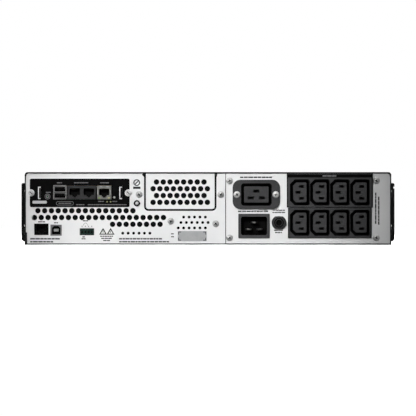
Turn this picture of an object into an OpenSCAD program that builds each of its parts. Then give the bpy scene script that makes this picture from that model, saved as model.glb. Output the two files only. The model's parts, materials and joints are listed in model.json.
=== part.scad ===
// Two-unit rackmount uninterruptible power supply.
// X runs left to right seen from the rear, Y runs from the rear panel to the front, Z is up.
// The origin is the centre of the chassis base.

/* [Chassis] */
// Width over the cover
body_w = 432; // [430:1:520]
// Height over the cover
body_h = 86; // [86:1:105]
// Depth from the face of the rear panels to the rack plane
body_d = 660; // [600:1:800]
// Thickness of the cover and base sheet
sheet_t = 1.2; // [1:0.1:1.6]
// Thickness of the two rear panels
panel_t = 1.5; // [1.2:0.1:2]
// Outside bend radius along the top edges of the cover
cover_r = 3.5; // [2.5:0.5:5]
// Height of the base pan's side flanges
pan_flange_h = 72; // [66:1:80]
// Hole-to-hole length of the rail holes in each side
rail_hole_span = 200; // [120:10:240]
// Hole-to-hole height of the rail holes in each side
rail_hole_rise = 40; // [30:1:44]
// Radius of the rail holes
rail_hole_r = 2.1; // [1.8:0.1:2.6]

/* [Rack ears] */
// How far each ear stands out from the chassis side
ear_w = 25.3; // [20:0.1:32]
// Distance from the ear's outer edge to the middle of its slots
rack_hole_inset = 8.75; // [8:0.05:10]
// Distance between the upper and lower rack holes
rack_hole_rise = 44.45; // [40:0.05:50]
// Height of the lower rack holes
rack_hole_z = 20.8; // [16:0.1:24]
// Half the width of a rack slot
rack_slot_r = 3.5; // [3:0.1:4]
// End-to-end length of a rack slot
rack_slot_l = 10.2; // [9:0.1:12]
// Thickness of the ear plate
ear_t = 2.5; // [2:0.1:3.5]
// Height of the ears
ear_h = 75.6; // [74:0.1:84]
// Length of the ear's flange along the chassis side
ear_reach = 62; // [50:1:90]

/* [Vents] */
// Diameter of the large vent holes
vent_d = 6.4; // [4:0.1:6.8]
// Spacing of the large vent holes
vent_pitch = 8; // [7.8:0.1:8.2]
// Diameter of the small vent holes
small_vent_d = 3.4; // [2:0.1:4]
// Spacing of the small vent holes
small_vent_pitch = 6.4; // [5.5:0.1:6.6]
// Width of the vent plate over the fan
vent_plate_w = 81; // [78:1:83]
// Gap around the vent plate
vent_gap = 2.2; // [1.5:0.1:2.6]

/* [Outlets and inlet] */
// Left-to-right spacing of the small outlets
outlet_pitch = 23.6; // [23.2:0.1:24]
// Width of a small outlet's recess
outlet_w = 21.9; // [20.5:0.1:22]
// Height of a small outlet's recess
outlet_h = 29.4; // [28:0.1:30.5]
// Width of the groove around an outlet's core
outlet_groove = 3; // [2.2:0.1:3.2]
// Depth of the outlets' recesses
outlet_depth = 16.5; // [14:0.5:22]
// How far the outlets stand out of the panel
outlet_proud = 2.2; // [1.5:0.1:4]
// Width of the large outlet's flange
flange_w = 55.8; // [54:0.1:58]
// Height of the large outlet's flange
flange_h = 34.7; // [33:0.1:36]
// Width of the power inlet's cavity
inlet_w = 30.8; // [30:0.1:32]
// Height of the power inlet's cavity
inlet_h = 21.9; // [21:0.1:23]
// Depth of the power inlet's cavity
inlet_depth = 19; // [16:0.5:24]

/* [Accessory card] */
// Width of the card's faceplate
card_w = 123.8; // [122:0.1:125]
// Height of the card's faceplate
card_h = 34.9; // [34:0.1:35.5]
// Length of the card's circuit board
card_d = 108; // [90:1:140]
// Distance from the faceplate's ends to its thumbscrews
card_screw_inset = 4.6; // [4.2:0.1:5]
// Thickness of the circuit boards
board_t = 1.6; // [1.2:0.1:2]

/* [Fan] */
// Side of the square fan frame
fan_w = 80; // [70:1:80]
// Thickness of the fan frame
fan_t = 25; // [20:1:32]
// Number of fan blades
fan_blades = 7; // [5:1:9]

/* [Battery drawer] */
// Width of the drawer's front plate
drawer_w = 358; // [356:1:364]
// Length of one battery block, across the drawer
block_w = 86; // [80:1:87]
// Depth of one battery block, front to back
block_d = 101; // [90:1:112]
// Height of one battery block
block_h = 70; // [60:1:72]
// Distance that the drawer's handle stands out
handle_reach = 15; // [12:0.5:16]

/* [Front] */
// Depth of the front mouldings
front_depth = 22; // [20:0.5:30]
// Wall of the front mouldings
front_wall = 2.5; // [2:0.1:3]
// Width of one slot in the front grille
grille_slot = 5; // [4:0.1:6]
// Spacing of the slots in the front grille
grille_pitch = 8.6; // [8:0.1:10]
// Travel of the front buttons
button_travel = 1.2; // [0.8:0.1:1.5]
// Radius of the menu buttons
key_r = 4.2; // [3.5:0.1:4.5]
// Radius of the power button
power_key_r = 7.5; // [6:0.1:8]

/* [Fits] */
// Gap between sheets and pieces that sit side by side
gap = 0.3; // [0.2:0.05:0.4]
// Radial clearance of pieces that slide or turn
slide_clear = 0.25; // [0.2:0.05:0.35]
// Radial clearance of a screw in its hole
screw_clear = 0.2; // [0.15:0.05:0.3]

/* [Hidden] */
$fn = 48;
rear_y = -body_d / 2;
front_y = body_d / 2;
left_x = -body_w / 2;
right_x = body_w / 2;
rack_w = body_w + 2 * ear_w;                    // 482.6, the standard 19 inch panel
rack_hole_span = rack_w - 2 * rack_hole_inset;  // 465.1, the standard hole spacing
inner_w = body_w - 2 * sheet_t - 2 * gap;       // room between the cover's sides
inner_top = body_h - sheet_t - gap;             // underside of the cover's top

// The left rear panel holds the signal connectors, the right one the power sockets.
comms_w = 236.3;                                // width of the left rear panel
seam_gap = 0.9;
seam_x = left_x + comms_w + seam_gap / 2;
panel_in = rear_y + panel_t;                    // inner face of the rear panels
backing_in = panel_in + panel_t;                // inner face of the flange behind the power panel
panel_z0 = sheet_t + gap;

// Screws
screw_r = 1.9;
screw_head_r = 3.9;
screw_head_h = 2;
screw_l = 7;

// Accessory card
card_x = left_x + 2.9 + card_w / 2;             // centre of the faceplate
card_z = 61.5;
card_plate_t = 1.2;
card_screw_span = card_w - 2 * card_screw_inset;
card_open_w = card_screw_span - 9.8;            // opening in the rear panel, between the screws
card_open_h = card_h - 5.9;
card_board_w = card_open_w - 2;
overlay_w = card_w - 6.3;
overlay_h = card_h - 1.4;
overlay_t = 0.4;
card_board_z = 52.4;
card_board_top = card_board_z + board_t;
card_face_y = rear_y - card_plate_t - overlay_t;
usb_stack = [15.2, 16.4];
io_block = [33.4, 15.9];
network_jack = [16.6, 15.9];
usb_stack_x = card_x - 23.3;
io_block_x = card_x + 2.4;
network_jack_x = card_x + 28.8;
card_reset_x = card_x + 40.8;
card_reset_z = 56.2;
card_reset_r = 1.1;
led_r = 0.9;
led_z = 51.1;
led_x = [card_x + 32.2, card_x + 36.4];
port_proud = 0.4;                               // how far the card's ports stand out of its face

// Ports on the left rear panel: centre from the left side, centre height, width, height
serial_port_at = [19.6, 18.6];
serial_port_size = [16.4, 13];
usb_port_at = [37, 17.6];
usb_port_size = [12.8, 12.4];
epo_at = [73.3, 15.7];
epo_size = [16.5, 7.6];
epo_poles = 4;
epo_pitch = 3.81;
epo_depth = 12;
port_depth = 15;
ground_at = [132.2, 49.2];
ground_stud_r = 2;
plate_at = [197.4, 10.6];
plate_size = [34.2, 11.9];
control_board_top = 11;

// Vent plate and fan
vent_plate_x = left_x + 183.3;
vent_plate_z0 = 42.5;
vent_corner_r = 3;
fan_z = body_h / 2;
shroud_t = 3;
shroud_w = 110;
shroud_y = backing_in + 5;
fan_y = shroud_y + shroud_t;
fan_bore_r = fan_w / 2 - 2.2;
fan_tip_r = fan_bore_r - 1.2;
fan_hub_r = 17.5;
fan_bearing_r = 3;
fan_screw_span = fan_w - 8.5;

// Power panel, measured from the seam
c19_x = seam_x + 36.2;
c19_z = 59.6;
c19_recess = [35, 25.3];
c19_core_step = 3.1;
c19_screw_span = 45.8;
c19_slot = [6.6, 2.8];
c19_face_y = rear_y - outlet_proud - 0.3;
c20_x = seam_x + 33.5;
c20_z = 22.5;
c20_flange = [37.1, 28.9];
pin_size = [7.9, 2];                            // the inlet's flat pins
pin_l = 15;
pin_spread = 13;                                // between line and neutral
pin_rise = 8;                                   // earth above line and neutral
breaker_x = seam_x + 62.9;
breaker_z = 26.4;
breaker_r = 5.6;
breaker_nut_w = 17.3;
breaker_nut_h = 14.9;
breaker_button_r = 3.4;
bank_x = seam_x + 87.4 + 1.5 * outlet_pitch;    // centre of the four columns of outlets
bank_rows = [26.4, 62.1];                       // heights of the two rows
bank_split = 44.1;
upper_bank_w = 101.3;
lower_bank_w = 98.6;
lower_bank_z0 = 8.2;
strip_h = 4.6;                                  // label strip along the top of the upper bank
bank_body_d = outlet_depth + 2;
bank_step = 1.5;                                // how far the flange overlaps the panel
contact_t = 0.4;
contact_l = 9;
c13_slot = [5.4, 2.6];
c13_spread = 14;
c13_earth_step = 4;
backing_x0 = seam_x - 10;                       // edge of the flange behind the power panel
window_x0 = seam_x + 9.8;                       // window in that flange
window_x1 = bank_x + upper_bank_w / 2 - bank_step + gap;
window_z0 = 5;
window_z1 = inner_top - bank_step;
boss_r = 3.6;

// Inside
bay_x1 = left_x + 6 + drawer_w + sheet_t;       // divider between the bay and the display
drawer_x0 = left_x + 5;
drawer_x1 = drawer_x0 + drawer_w;
drawer_t = 2;
drawer_z0 = sheet_t + gap;
drawer_plate_h = body_h - 6;
block_gap = 1.2;
blocks_x = 4;
blocks_y = 2;
drawer_side_h = 40;
drawer_front_gap = 4;                           // room between the blocks and the front plate
blocks_y0 = front_y - drawer_t - drawer_front_gap - blocks_y * (block_d + block_gap);
drawer_back_y = blocks_y0 - sheet_t - gap;      // rear face of the drawer
battery_shell = [58, 22];                       // outline of the power connector's halves
plug_l = 8;
plug_tongue = [17.6, 11.6];
plug_tongue_l = 12;
plug_spread = 28;
mate_y = drawer_back_y - plug_l;                // plane where the connector's halves meet
bay_y = mate_y - 12;                            // rear wall of the battery bay
handle_w = 110;
handle_bar = 5;
handle_x = (drawer_x0 + drawer_x1) / 2;
handle_z = 43;
drawer_screw_z = body_h - 7.6;
drawer_screw_inset = 14;
thumb_head_r = 4;
card_knob_r = 3.3;
rail_z0 = drawer_z0 + sheet_t + block_h + 2.4;  // underside of the rail over the drawer
post_r = 3;
post_l = 3;
post_inset_x = 30;
post_z = [14, 71.5];
drawer_plug_x = (drawer_x0 + drawer_x1) / 2;
drawer_plug_z = 30;

// Ears
ear_z0 = 0.4;
ear_r = 2.2;                                    // upper outer corner
ear_foot_r = 4;                                 // lower outer corner

// Front
front_face_y = front_y + front_depth;
display_x0 = bay_x1 + 0.6;
display_x = (display_x0 + right_x) / 2;
front_z0 = 0.5;
front_z1 = body_h - 0.5;
lcd_w = 48;
lcd_h = 28;
lcd_z = 62;
key_z = 37;
key_pitch = 15.5;
power_key_z = 17;
key_proud = 1.2;
key_flange = 1.1;

// ---------------------------------------------------------------- shared shapes

// Points of an arc about c, from angle a0 to a1
function arc(c, r, a0, a1, n = 6) =
    [for (i = [0:n]) c + r * [cos(a0 + (a1 - a0) * i / n), sin(a0 + (a1 - a0) * i / n)]];

// Outline of a rectangle with rounded corners, centred on the origin
function rounded(w, h, r) = concat(
    arc([w / 2 - r, h / 2 - r], r, 0, 90), arc([r - w / 2, h / 2 - r], r, 90, 180),
    arc([r - w / 2, r - h / 2], r, 180, 270), arc([w / 2 - r, r - h / 2], r, 270, 360));

// Outline of a small outlet: cut corners on the earth side, rounded ones on the other
function outlet_outline(w, h, cut, r) = concat(
    [[cut - w / 2, -h / 2]], arc([w / 2 - r, r - h / 2], r, 270, 360, 4),
    arc([w / 2 - r, h / 2 - r], r, 0, 90, 4), [[cut - w / 2, h / 2], [-w / 2, h / 2 - cut],
    [-w / 2, cut - h / 2]]);

// A flat shape in X and Z, made solid from y0 to y1
module slab(y0, y1) {
    translate([0, y1, 0]) rotate([90, 0, 0]) linear_extrude(height = y1 - y0) children();
}

// A block from its low corner and its high corner
module block(low, high) {
    translate(low) cube(high - low);
}

module rounded_rect(w, h, r) {
    polygon(rounded(w, h, r));
}

// A cylinder along Y between two depths
module rod(x, z, r, y0, y1) {
    translate([x, y1, z]) rotate([90, 0, 0]) cylinder(r = r, h = y1 - y0);
}

// A pan-head screw with a cross recess. It stands on the local XY plane, head up.
module screw(r = screw_r, head_r = screw_head_r, head_h = screw_head_h, l = screw_l) {
    difference() {
        union() {
            cylinder(r = head_r, h = head_h * 0.5);
            translate([0, 0, head_h * 0.5]) cylinder(r1 = head_r, r2 = head_r * 0.62, h = head_h * 0.5);
            translate([0, 0, -l]) cylinder(r = r, h = l + 0.1);
        }
        for (turn = [0, 90])
            rotate([0, 0, turn])
                translate([-head_r * 0.5, -0.45, head_h - 1.2]) cube([head_r, 0.9, 2]);
    }
}

// Screws whose heads rest on a rear-facing plane
module rear_screws(places, y) {
    for (p = places)
        translate([p[0], y, p[1]]) rotate([90, 0, 0]) rotate([0, 0, 45]) screw();
}

// The opening of a modular jack: a wide mouth with a stepped latch slot below it
module jack_opening(w = 11.8, h = 7) {
    square([w, h], center = true);
    translate([-3.1, -h / 2 - 1.6]) square([6.2, 1.7]);
    translate([-1.7, -h / 2 - 2.8]) square([3.4, 1.3]);
}

// Places of the row of holes that starts at first and has n holes
function row(first, z, n, pitch) = [for (i = [0:n - 1]) [first + i * pitch, z]];

rear_vents = concat(
    row(left_x + 15.5, 40.5, 15, vent_pitch), row(left_x + 11.5, 32.5, 20, vent_pitch),
    row(left_x + 103.5, 24.5, 8, vent_pitch));
rear_small_vents = concat(
    row(left_x + 187.3, 33, 5, small_vent_pitch), row(left_x + 184.1, 26.6, 6, small_vent_pitch),
    row(left_x + 180.9, 20.2, 6, small_vent_pitch), row(left_x + 115.5, 14, 6, small_vent_pitch));
plate_vents = [for (k = [0:3]) each row(
    vent_plate_x - vent_pitch * (k % 2 == 0 ? 4 : 3.5), 50.4 + k * vent_pitch,
    k % 2 == 0 ? 9 : 8, vent_pitch)];
shroud_screw_places = [[left_x + 134.8, 59.7], [left_x + 231.1, 59.5]];
tab_screw_places = [[left_x + 172.1, 28.2], [left_x + 225.1, 25.2]];
tab_w = 8;                                      // tabs of the base pan behind the rear panel
rear_screw_places = concat(shroud_screw_places, tab_screw_places);
power_screw_places = [for (x = [4.7, 177.7], z = [8.6, 75.7]) [seam_x + x, z]];
card_screw_places = [for (s = [-1, 1]) [card_x + s * card_screw_span / 2, card_z]];
c19_screw_places = [for (s = [-1, 1]) [c19_x + s * c19_screw_span / 2, c19_z]];
ear_screw_places = [for (y = [-48, -18], z = [16, 60]) [front_y + y, z]];
cover_screw_places = [for (y = [rear_y + 20, bay_y - 38.1], z = [16, 60]) [y, z]];
rail_hole_places = [for (y = [-0.5, 0.5], z = [-0.5, 0.5])
    [y * rail_hole_span - 80, pan_flange_h / 2 + 3 + z * rail_hole_rise]];

// Round holes along X through both sides of the chassis
module side_holes(places, r) {
    for (p = places)
        translate([left_x - 1, p[0], p[1]]) rotate([0, 90, 0]) cylinder(r = r, h = body_w + 2);
}

// ---------------------------------------------------------------- chassis shell

module base_pan() {
    color("gainsboro") difference() {
        union() {
            block([-inner_w / 2, panel_in, 0], [inner_w / 2, front_y, sheet_t]);
            for (s = [-1, 1])
                translate([s * (inner_w / 2 - sheet_t / 2) - sheet_t / 2, backing_in, 0])
                    cube([sheet_t, body_d - 2 * panel_t, pan_flange_h]);
            block([-inner_w / 2, rear_y, 0], [inner_w / 2, panel_in, sheet_t]);
            for (p = tab_screw_places)
                block([p[0] - tab_w / 2, panel_in, 0], [p[0] + tab_w / 2, panel_in + sheet_t, p[1] + 5]);
        }
        for (p = tab_screw_places)
            rod(p[0], p[1], screw_r + screw_clear, rear_y, backing_in);
        side_holes(rail_hole_places, rail_hole_r);
        side_holes(concat(cover_screw_places, ear_screw_places), screw_r + screw_clear);
    }
}

module top_cover() {
    inner_r = cover_r - sheet_t;
    color([0.1, 0.1, 0.11]) difference() {
        union() {
            slab(rear_y - 0.4, front_y) difference() {
                polygon(concat(
                    arc([right_x - cover_r, body_h - cover_r], cover_r, 0, 90),
                    arc([left_x + cover_r, body_h - cover_r], cover_r, 90, 180),
                    [[left_x, 0.2], [right_x, 0.2]]));
                polygon(concat(
                    arc([right_x - cover_r, body_h - cover_r], inner_r, 0, 90),
                    arc([left_x + cover_r, body_h - cover_r], inner_r, 90, 180),
                    [[left_x + sheet_t, -1], [right_x - sheet_t, -1]]));
            }
            // lip folded over the lower rear corner
            block([left_x, rear_y - 1.6, 1], [left_x + 2.8, rear_y - 0.4, 15]);
        }
        side_holes(rail_hole_places, rail_hole_r);
        side_holes(concat(cover_screw_places, ear_screw_places), screw_r + screw_clear);
    }
}

// What is cut from the panels' top corners to clear the bends of the cover
module panel_corners() {
    r = cover_r - sheet_t - gap;
    for (s = [-1, 1])
        translate([s * (inner_w / 2 - r), inner_top - r]) difference() {
            translate([s > 0 ? 0 : -2 * r, 0]) square([2 * r, 2 * r]);
            circle(r = r);
        }
}

module rear_panel_outline() {
    translate([-inner_w / 2, panel_z0])
        square([comms_w - sheet_t - gap, inner_top - panel_z0]);
}

// The vent plate's shape, grown by a margin, with rounded lower corners
module vent_plate_outline(margin) {
    r = vent_corner_r + margin;
    half = vent_plate_w / 2 + margin;
    low = vent_plate_z0 - margin;
    polygon(concat(
        arc([vent_plate_x - half + r, low + r], r, 180, 270),
        arc([vent_plate_x + half - r, low + r], r, 270, 360),
        [[vent_plate_x + half, inner_top], [vent_plate_x - half, inner_top]]));
}

// A port's cut-out in the left rear panel
module port_cut(at, size) {
    translate([left_x + at[0], at[1]]) square([size[0] + 2 * gap, size[1] + 2 * gap], center = true);
}

module holes(places, r) {
    for (p = places)
        translate(p) circle(r = r);
}

module rear_panel() {
    color([0.86, 0.87, 0.88]) {
        slab(rear_y, panel_in) difference() {
            rear_panel_outline();
            panel_corners();
            vent_plate_outline(vent_gap);
            for (s = [-1, 1])
                translate([vent_plate_x + s * (vent_plate_w / 2 + vent_gap), inner_top - 1.6])
                    rotate([0, 0, 45]) square(3.4, center = true);
            translate([card_x, card_z]) rounded_rect(card_open_w, card_open_h, 1.5);
            port_cut(serial_port_at, serial_port_size);
            port_cut(usb_port_at, usb_port_size);
            port_cut(epo_at, epo_size);
            holes(rear_vents, vent_d / 2);
            holes(rear_small_vents, small_vent_d / 2);
            holes(concat(rear_screw_places, card_screw_places), screw_r + screw_clear);
            translate([left_x + ground_at[0], ground_at[1]]) circle(r = ground_stud_r + 0.5);
        }
        // flange that the power panel is screwed to
        slab(panel_in, backing_in) difference() {
            translate([backing_x0, panel_z0])
                square([inner_w / 2 - backing_x0 - sheet_t - gap, inner_top - panel_z0]);
            translate([window_x0, window_z0]) square([window_x1 - window_x0, window_z1 - window_z0]);
            // room for the base pan's tab
            translate([tab_screw_places[1][0] - tab_w / 2 - gap, panel_z0 - 1])
                square([tab_w + 2 * gap, tab_screw_places[1][1] + 6 + gap]);
            panel_corners();
            holes(concat(power_screw_places, shroud_screw_places), screw_r + screw_clear);
        }
    }
}

module vent_plate() {
    flange_l = 22;
    color([0.86, 0.87, 0.88]) {
        slab(rear_y, panel_in) difference() {
            vent_plate_outline(0);
            holes(plate_vents, vent_d / 2);
        }
        block([vent_plate_x - vent_plate_w / 2 + 1, panel_in, body_h - 2 * sheet_t],
            [vent_plate_x + vent_plate_w / 2 - 1, panel_in + flange_l, body_h - sheet_t]);
    }
}

module power_panel() {
    color([0.8, 0.8, 0.81]) slab(rear_y, panel_in) difference() {
        translate([seam_x + seam_gap / 2, panel_z0])
            square([inner_w / 2 - seam_x - seam_gap / 2, inner_top - panel_z0]);
        panel_corners();
        translate([c19_x, c19_z]) rounded_rect(c19_recess[0] + 3 + 2 * gap, c19_recess[1] + 3 + 2 * gap, 3);
        translate([c20_x, c20_z]) rounded_rect(inlet_w + 3.6 + 2 * gap, inlet_h + 3.6 + 2 * gap, 3);
        translate([breaker_x, breaker_z]) circle(r = breaker_r + screw_clear);
        bank_cut(bank_z0(1), bank_z1(1), upper_bank_w);
        bank_cut(bank_z0(0), bank_z1(0), lower_bank_w);
        holes(concat(power_screw_places, c19_screw_places), screw_r + screw_clear);
    }
}

function bank_z0(row) = row == 0 ? lower_bank_z0 : bank_split + gap / 2;
function bank_z1(row) = row == 0 ? bank_split - gap / 2 : inner_top - gap;

// The panel's cut-out for the body of one outlet bank, inside its flange
module bank_cut(z0, z1, w) {
    margin = bank_step - gap;
    translate([bank_x - w / 2 + margin, z0 + margin]) square([w - 2 * margin, z1 - z0 - 2 * margin]);
}

module rear_panel_screws() {
    color("silver") rear_screws(rear_screw_places, rear_y);
}

module power_panel_screws() {
    color("silver") rear_screws(power_screw_places, rear_y);
}

// ---------------------------------------------------------------- outlets, inlet and breaker

// Slots of a small outlet in its own face: earth beside line and neutral
module c13_slots() {
    translate([-c13_earth_step / 2, 0]) square(c13_slot, center = true);
    for (s = [-1, 1])
        translate([c13_earth_step / 2, s * c13_spread / 2]) square(c13_slot, center = true);
}

module c13_groove() {
    difference() {
        polygon(outlet_outline(outlet_w, outlet_h, 5.4, 2));
        polygon(outlet_outline(outlet_w - 2 * outlet_groove, outlet_h - 2 * outlet_groove, 3.6, 1.4));
    }
}

// One bank of four outlets: a flange on the panel and a body that reaches inside
module outlet_bank(row, w) {
    z0 = bank_z0(row);
    z1 = bank_z1(row);
    face = rear_y - outlet_proud;
    difference() {
        union() {
            slab(face, rear_y) translate([bank_x - w / 2, z0]) square([w, z1 - z0]);
            slab(rear_y, face + bank_body_d)
                translate([bank_x - w / 2 + bank_step, z0 + bank_step])
                    square([w - 2 * bank_step, z1 - z0 - 2 * bank_step]);
        }
        for (col = [-1.5:1.5])
            slab(face - 1, face + outlet_depth)
                translate([bank_x + col * outlet_pitch, bank_rows[row]]) {
                    c13_groove();
                    c13_slots();
                }
        if (row == 1)
            slab(face - 1, face + 0.8)
                translate([bank_x - w / 2 + 1, z1 - strip_h]) square([w - 2, strip_h - 0.8]);
    }
}

module upper_outlet_bank() {
    color([0.2, 0.2, 0.21]) outlet_bank(1, upper_bank_w);
}

module lower_outlet_bank() {
    color([0.2, 0.2, 0.21]) outlet_bank(0, lower_bank_w);
}

// A sprung contact: two leaves on the upper and lower walls of a slot, at its inner end
module contact(slot, face) {
    for (s = [-1, 1])
        translate([-slot[0] / 2 + gap, face + outlet_depth - contact_l,
                s * (slot[1] - contact_t) / 2 - contact_t / 2])
            cube([slot[0] - 2 * gap, contact_l, contact_t]);
}

module outlet_contacts() {
    color("gold") {
        for (z = bank_rows, col = [-1.5:1.5])
            translate([bank_x + col * outlet_pitch, 0, z]) {
                translate([-c13_earth_step / 2, 0, 0]) contact(c13_slot, rear_y - outlet_proud);
                for (s = [-1, 1])
                    translate([c13_earth_step / 2, 0, s * c13_spread / 2])
                        contact(c13_slot, rear_y - outlet_proud);
            }
        translate([c19_x, 0, c19_z]) {
            translate([0, 0, pin_rise / 2]) contact(c19_slot, c19_face_y);
            for (s = [-1, 1])
                translate([s * pin_spread / 2, 0, -pin_rise / 2]) contact(c19_slot, c19_face_y);
        }
    }
}

// Flat blades or slots of the large connector pair
module c19_blades(size) {
    translate([0, pin_rise / 2]) square(size, center = true);
    for (s = [-1, 1])
        translate([s * pin_spread / 2, -pin_rise / 2]) square(size, center = true);
}

module c19_outlet() {
    face = c19_face_y;
    color([0.22, 0.22, 0.23]) difference() {
        union() {
            slab(face, rear_y) translate([c19_x, c19_z]) rounded_rect(flange_w, flange_h, 9);
            slab(rear_y, face + bank_body_d)
                translate([c19_x, c19_z]) rounded_rect(c19_recess[0] + 3, c19_recess[1] + 3, 3);
        }
        slab(face - 1, face + outlet_depth) translate([c19_x, c19_z]) {
            difference() {
                rounded_rect(c19_recess[0], c19_recess[1], 3);
                rounded_rect(c19_recess[0] - 2 * c19_core_step, c19_recess[1] - 2 * c19_core_step, 1.2);
            }
            c19_blades(c19_slot);
        }
        for (p = c19_screw_places)
            rod(p[0], p[1], screw_r + screw_clear, face - 1, rear_y + 1);
    }
}

module c19_outlet_screws() {
    color("white") rear_screws(c19_screw_places, c19_face_y);
}

module c20_inlet() {
    face = rear_y - outlet_proud;
    color([0.13, 0.13, 0.14]) difference() {
        union() {
            slab(face, rear_y) translate([c20_x, c20_z]) rounded_rect(c20_flange[0], c20_flange[1], 1);
            slab(rear_y, face + inlet_depth + 3)
                translate([c20_x, c20_z]) rounded_rect(inlet_w + 3.6, inlet_h + 3.6, 3);
        }
        slab(face - 1, face + inlet_depth)
            translate([c20_x, c20_z]) rounded_rect(inlet_w, inlet_h, 2.4);
        slab(face, face + inlet_depth + 4)
            translate([c20_x, c20_z]) c19_blades(pin_size);
    }
}

module c20_inlet_pins() {
    face = rear_y - outlet_proud;
    color("silver") slab(face + inlet_depth - pin_l, face + inlet_depth + 8)
        translate([c20_x, c20_z]) c19_blades(pin_size);
}

module breaker_body() {
    y1 = panel_in + 26;
    color([0.12, 0.12, 0.12]) difference() {
        union() {
            block([breaker_x - 7, panel_in, breaker_z - 10], [breaker_x + 7, y1, breaker_z + 12]);
            rod(breaker_x, breaker_z, breaker_r, rear_y - 5.2, panel_in);
        }
        rod(breaker_x, breaker_z, breaker_button_r + slide_clear, rear_y - 6, panel_in + 8);
    }
}

module breaker_nut() {
    color([0.18, 0.18, 0.18]) slab(rear_y - 3.6, rear_y) translate([breaker_x, breaker_z])
        difference() {
            intersection() {
                circle(d = breaker_nut_w);
                square([breaker_nut_w + 1, breaker_nut_h], center = true);
            }
            circle(r = breaker_r + 0.05);
        }
}

module breaker_button() {
    color([0.05, 0.05, 0.05])
        rod(breaker_x, breaker_z, breaker_button_r, rear_y - 6.4, panel_in + 7);
}

// ---------------------------------------------------------------- ports on the left rear panel

// The stand between a port and the control board under it
module port_foot(at, size, depth) {
    low = control_board_top - at[1];
    slab(rear_y + 3, rear_y + depth)
        translate([-size[0] / 2, low]) square([size[0], -size[1] / 2 - low + 0.1]);
}

module serial_port() {
    size = serial_port_size;
    color([0.06, 0.06, 0.06]) translate([left_x + serial_port_at[0], 0, serial_port_at[1]]) {
        difference() {
            slab(rear_y - 0.5, rear_y + port_depth) square(size, center = true);
            slab(rear_y - 1, rear_y + port_depth - 3) translate([0, 1.2]) jack_opening(12.2, 7.4);
        }
        port_foot(serial_port_at, size, port_depth);
    }
}

module usb_port() {
    size = usb_port_size;
    mouth = [10, 9.8];
    cut = 2.4;
    color([0.55, 0.55, 0.56]) translate([left_x + usb_port_at[0], 0, usb_port_at[1]]) {
        difference() {
            slab(rear_y - 0.5, rear_y + port_depth) square(size, center = true);
            slab(rear_y - 1, rear_y + port_depth - 3) polygon([
                [-mouth[0] / 2, -mouth[1] / 2], [mouth[0] / 2, -mouth[1] / 2],
                [mouth[0] / 2, mouth[1] / 2 - cut], [mouth[0] / 2 - cut, mouth[1] / 2],
                [cut - mouth[0] / 2, mouth[1] / 2], [-mouth[0] / 2, mouth[1] / 2 - cut]]);
        }
        slab(rear_y + 0.6, rear_y + port_depth - 2.9) square([5.4, 3], center = true);
        port_foot(usb_port_at, size, port_depth);
    }
}

// Centres of the terminal block's poles, about its middle
epo_poles_x = [for (i = [0:epo_poles - 1]) (i - (epo_poles - 1) / 2) * epo_pitch];

module epo_header() {
    wall = 0.8;
    color([0.05, 0.25, 0.16]) translate([left_x + epo_at[0], 0, epo_at[1]]) {
        difference() {
            slab(rear_y - 0.6, rear_y + epo_depth) square(epo_size, center = true);
            slab(rear_y - 1, rear_y + epo_depth - 2)
                square([epo_size[0] - 2 * wall, epo_size[1] - 2 * wall], center = true);
        }
        for (x = epo_poles_x)
            slab(rear_y + epo_depth - 8, rear_y + epo_depth - 1.9)
                translate([x, 0]) square(1, center = true);
        port_foot(epo_at, epo_size, epo_depth);
    }
}

module epo_plug() {
    wall = 0.8 + slide_clear;
    y0 = rear_y - 1.4;
    color([0.06, 0.3, 0.2]) translate([left_x + epo_at[0], 0, epo_at[1]]) difference() {
        slab(y0, rear_y + epo_depth - 2.3)
            square([epo_size[0] - 2 * wall, epo_size[1] - 2 * wall], center = true);
        for (x = epo_poles_x) {
            slab(y0 - 1, y0 + 4) translate([x, -0.3]) square([2.4, 4], center = true);
            slab(y0 + 3, rear_y + epo_depth) translate([x, 0]) square(1.5, center = true);
        }
    }
}

module ground_stud() {
    x = left_x + ground_at[0];
    z = ground_at[1];
    color([0.3, 0.3, 0.3]) {
        rod(x, z, ground_stud_r, rear_y - 6.5, panel_in + 4);
        translate([x, rear_y, z]) rotate([90, 0, 0]) cylinder(r = 4.1, h = 1, $fn = 8);
        rod(x, z, 4, panel_in, panel_in + 1.5);
    }
}

module rating_plate() {
    color([0.66, 0.67, 0.68]) slab(rear_y - 0.4, rear_y)
        translate([left_x + plate_at[0], plate_at[1]]) rounded_rect(plate_size[0], plate_size[1], 0.8);
}

// ---------------------------------------------------------------- accessory card

// Two channels that hold the long edges of the card's board, on a shelf
module card_guides() {
    half = card_board_w / 2;
    lip = 3;
    y1 = rear_y + card_d - 4;
    z0 = card_board_z - lip;
    color([0.75, 0.75, 0.7]) difference() {
        union() {
            for (s = [-1, 1])
                translate([card_x + s * (half + gap), 0, 0]) {
                    block([-lip, panel_in, z0], [lip, y1, card_board_top + lip]);
                    block([-lip, y1 - 6, sheet_t], [lip, y1, z0]);
                }
            block([card_x - half, panel_in, z0 - sheet_t], [card_x + half, y1, z0]);
        }
        block([card_x - half - gap, panel_in - 1, card_board_z - gap],
            [card_x + half + gap, y1 + 1, card_board_top + gap]);
    }
}

// Cut-outs of the card's ports, grown by a margin
module card_port_cuts(margin) {
    grow = [2 * margin, 2 * margin];
    z = card_board_top;
    translate([usb_stack_x, z + usb_stack[1] / 2]) square(usb_stack + grow, center = true);
    translate([io_block_x, z + io_block[1] / 2]) square(io_block + grow, center = true);
    translate([network_jack_x, z + network_jack[1] / 2]) square(network_jack + grow, center = true);
    translate([card_reset_x, card_reset_z]) circle(r = card_reset_r + slide_clear);
    for (x = led_x)
        translate([x, led_z]) circle(r = led_r + 0.1);
    translate([usb_stack_x - 14.6, card_board_top + 3.2]) circle(r = 1.9);
}

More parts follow.
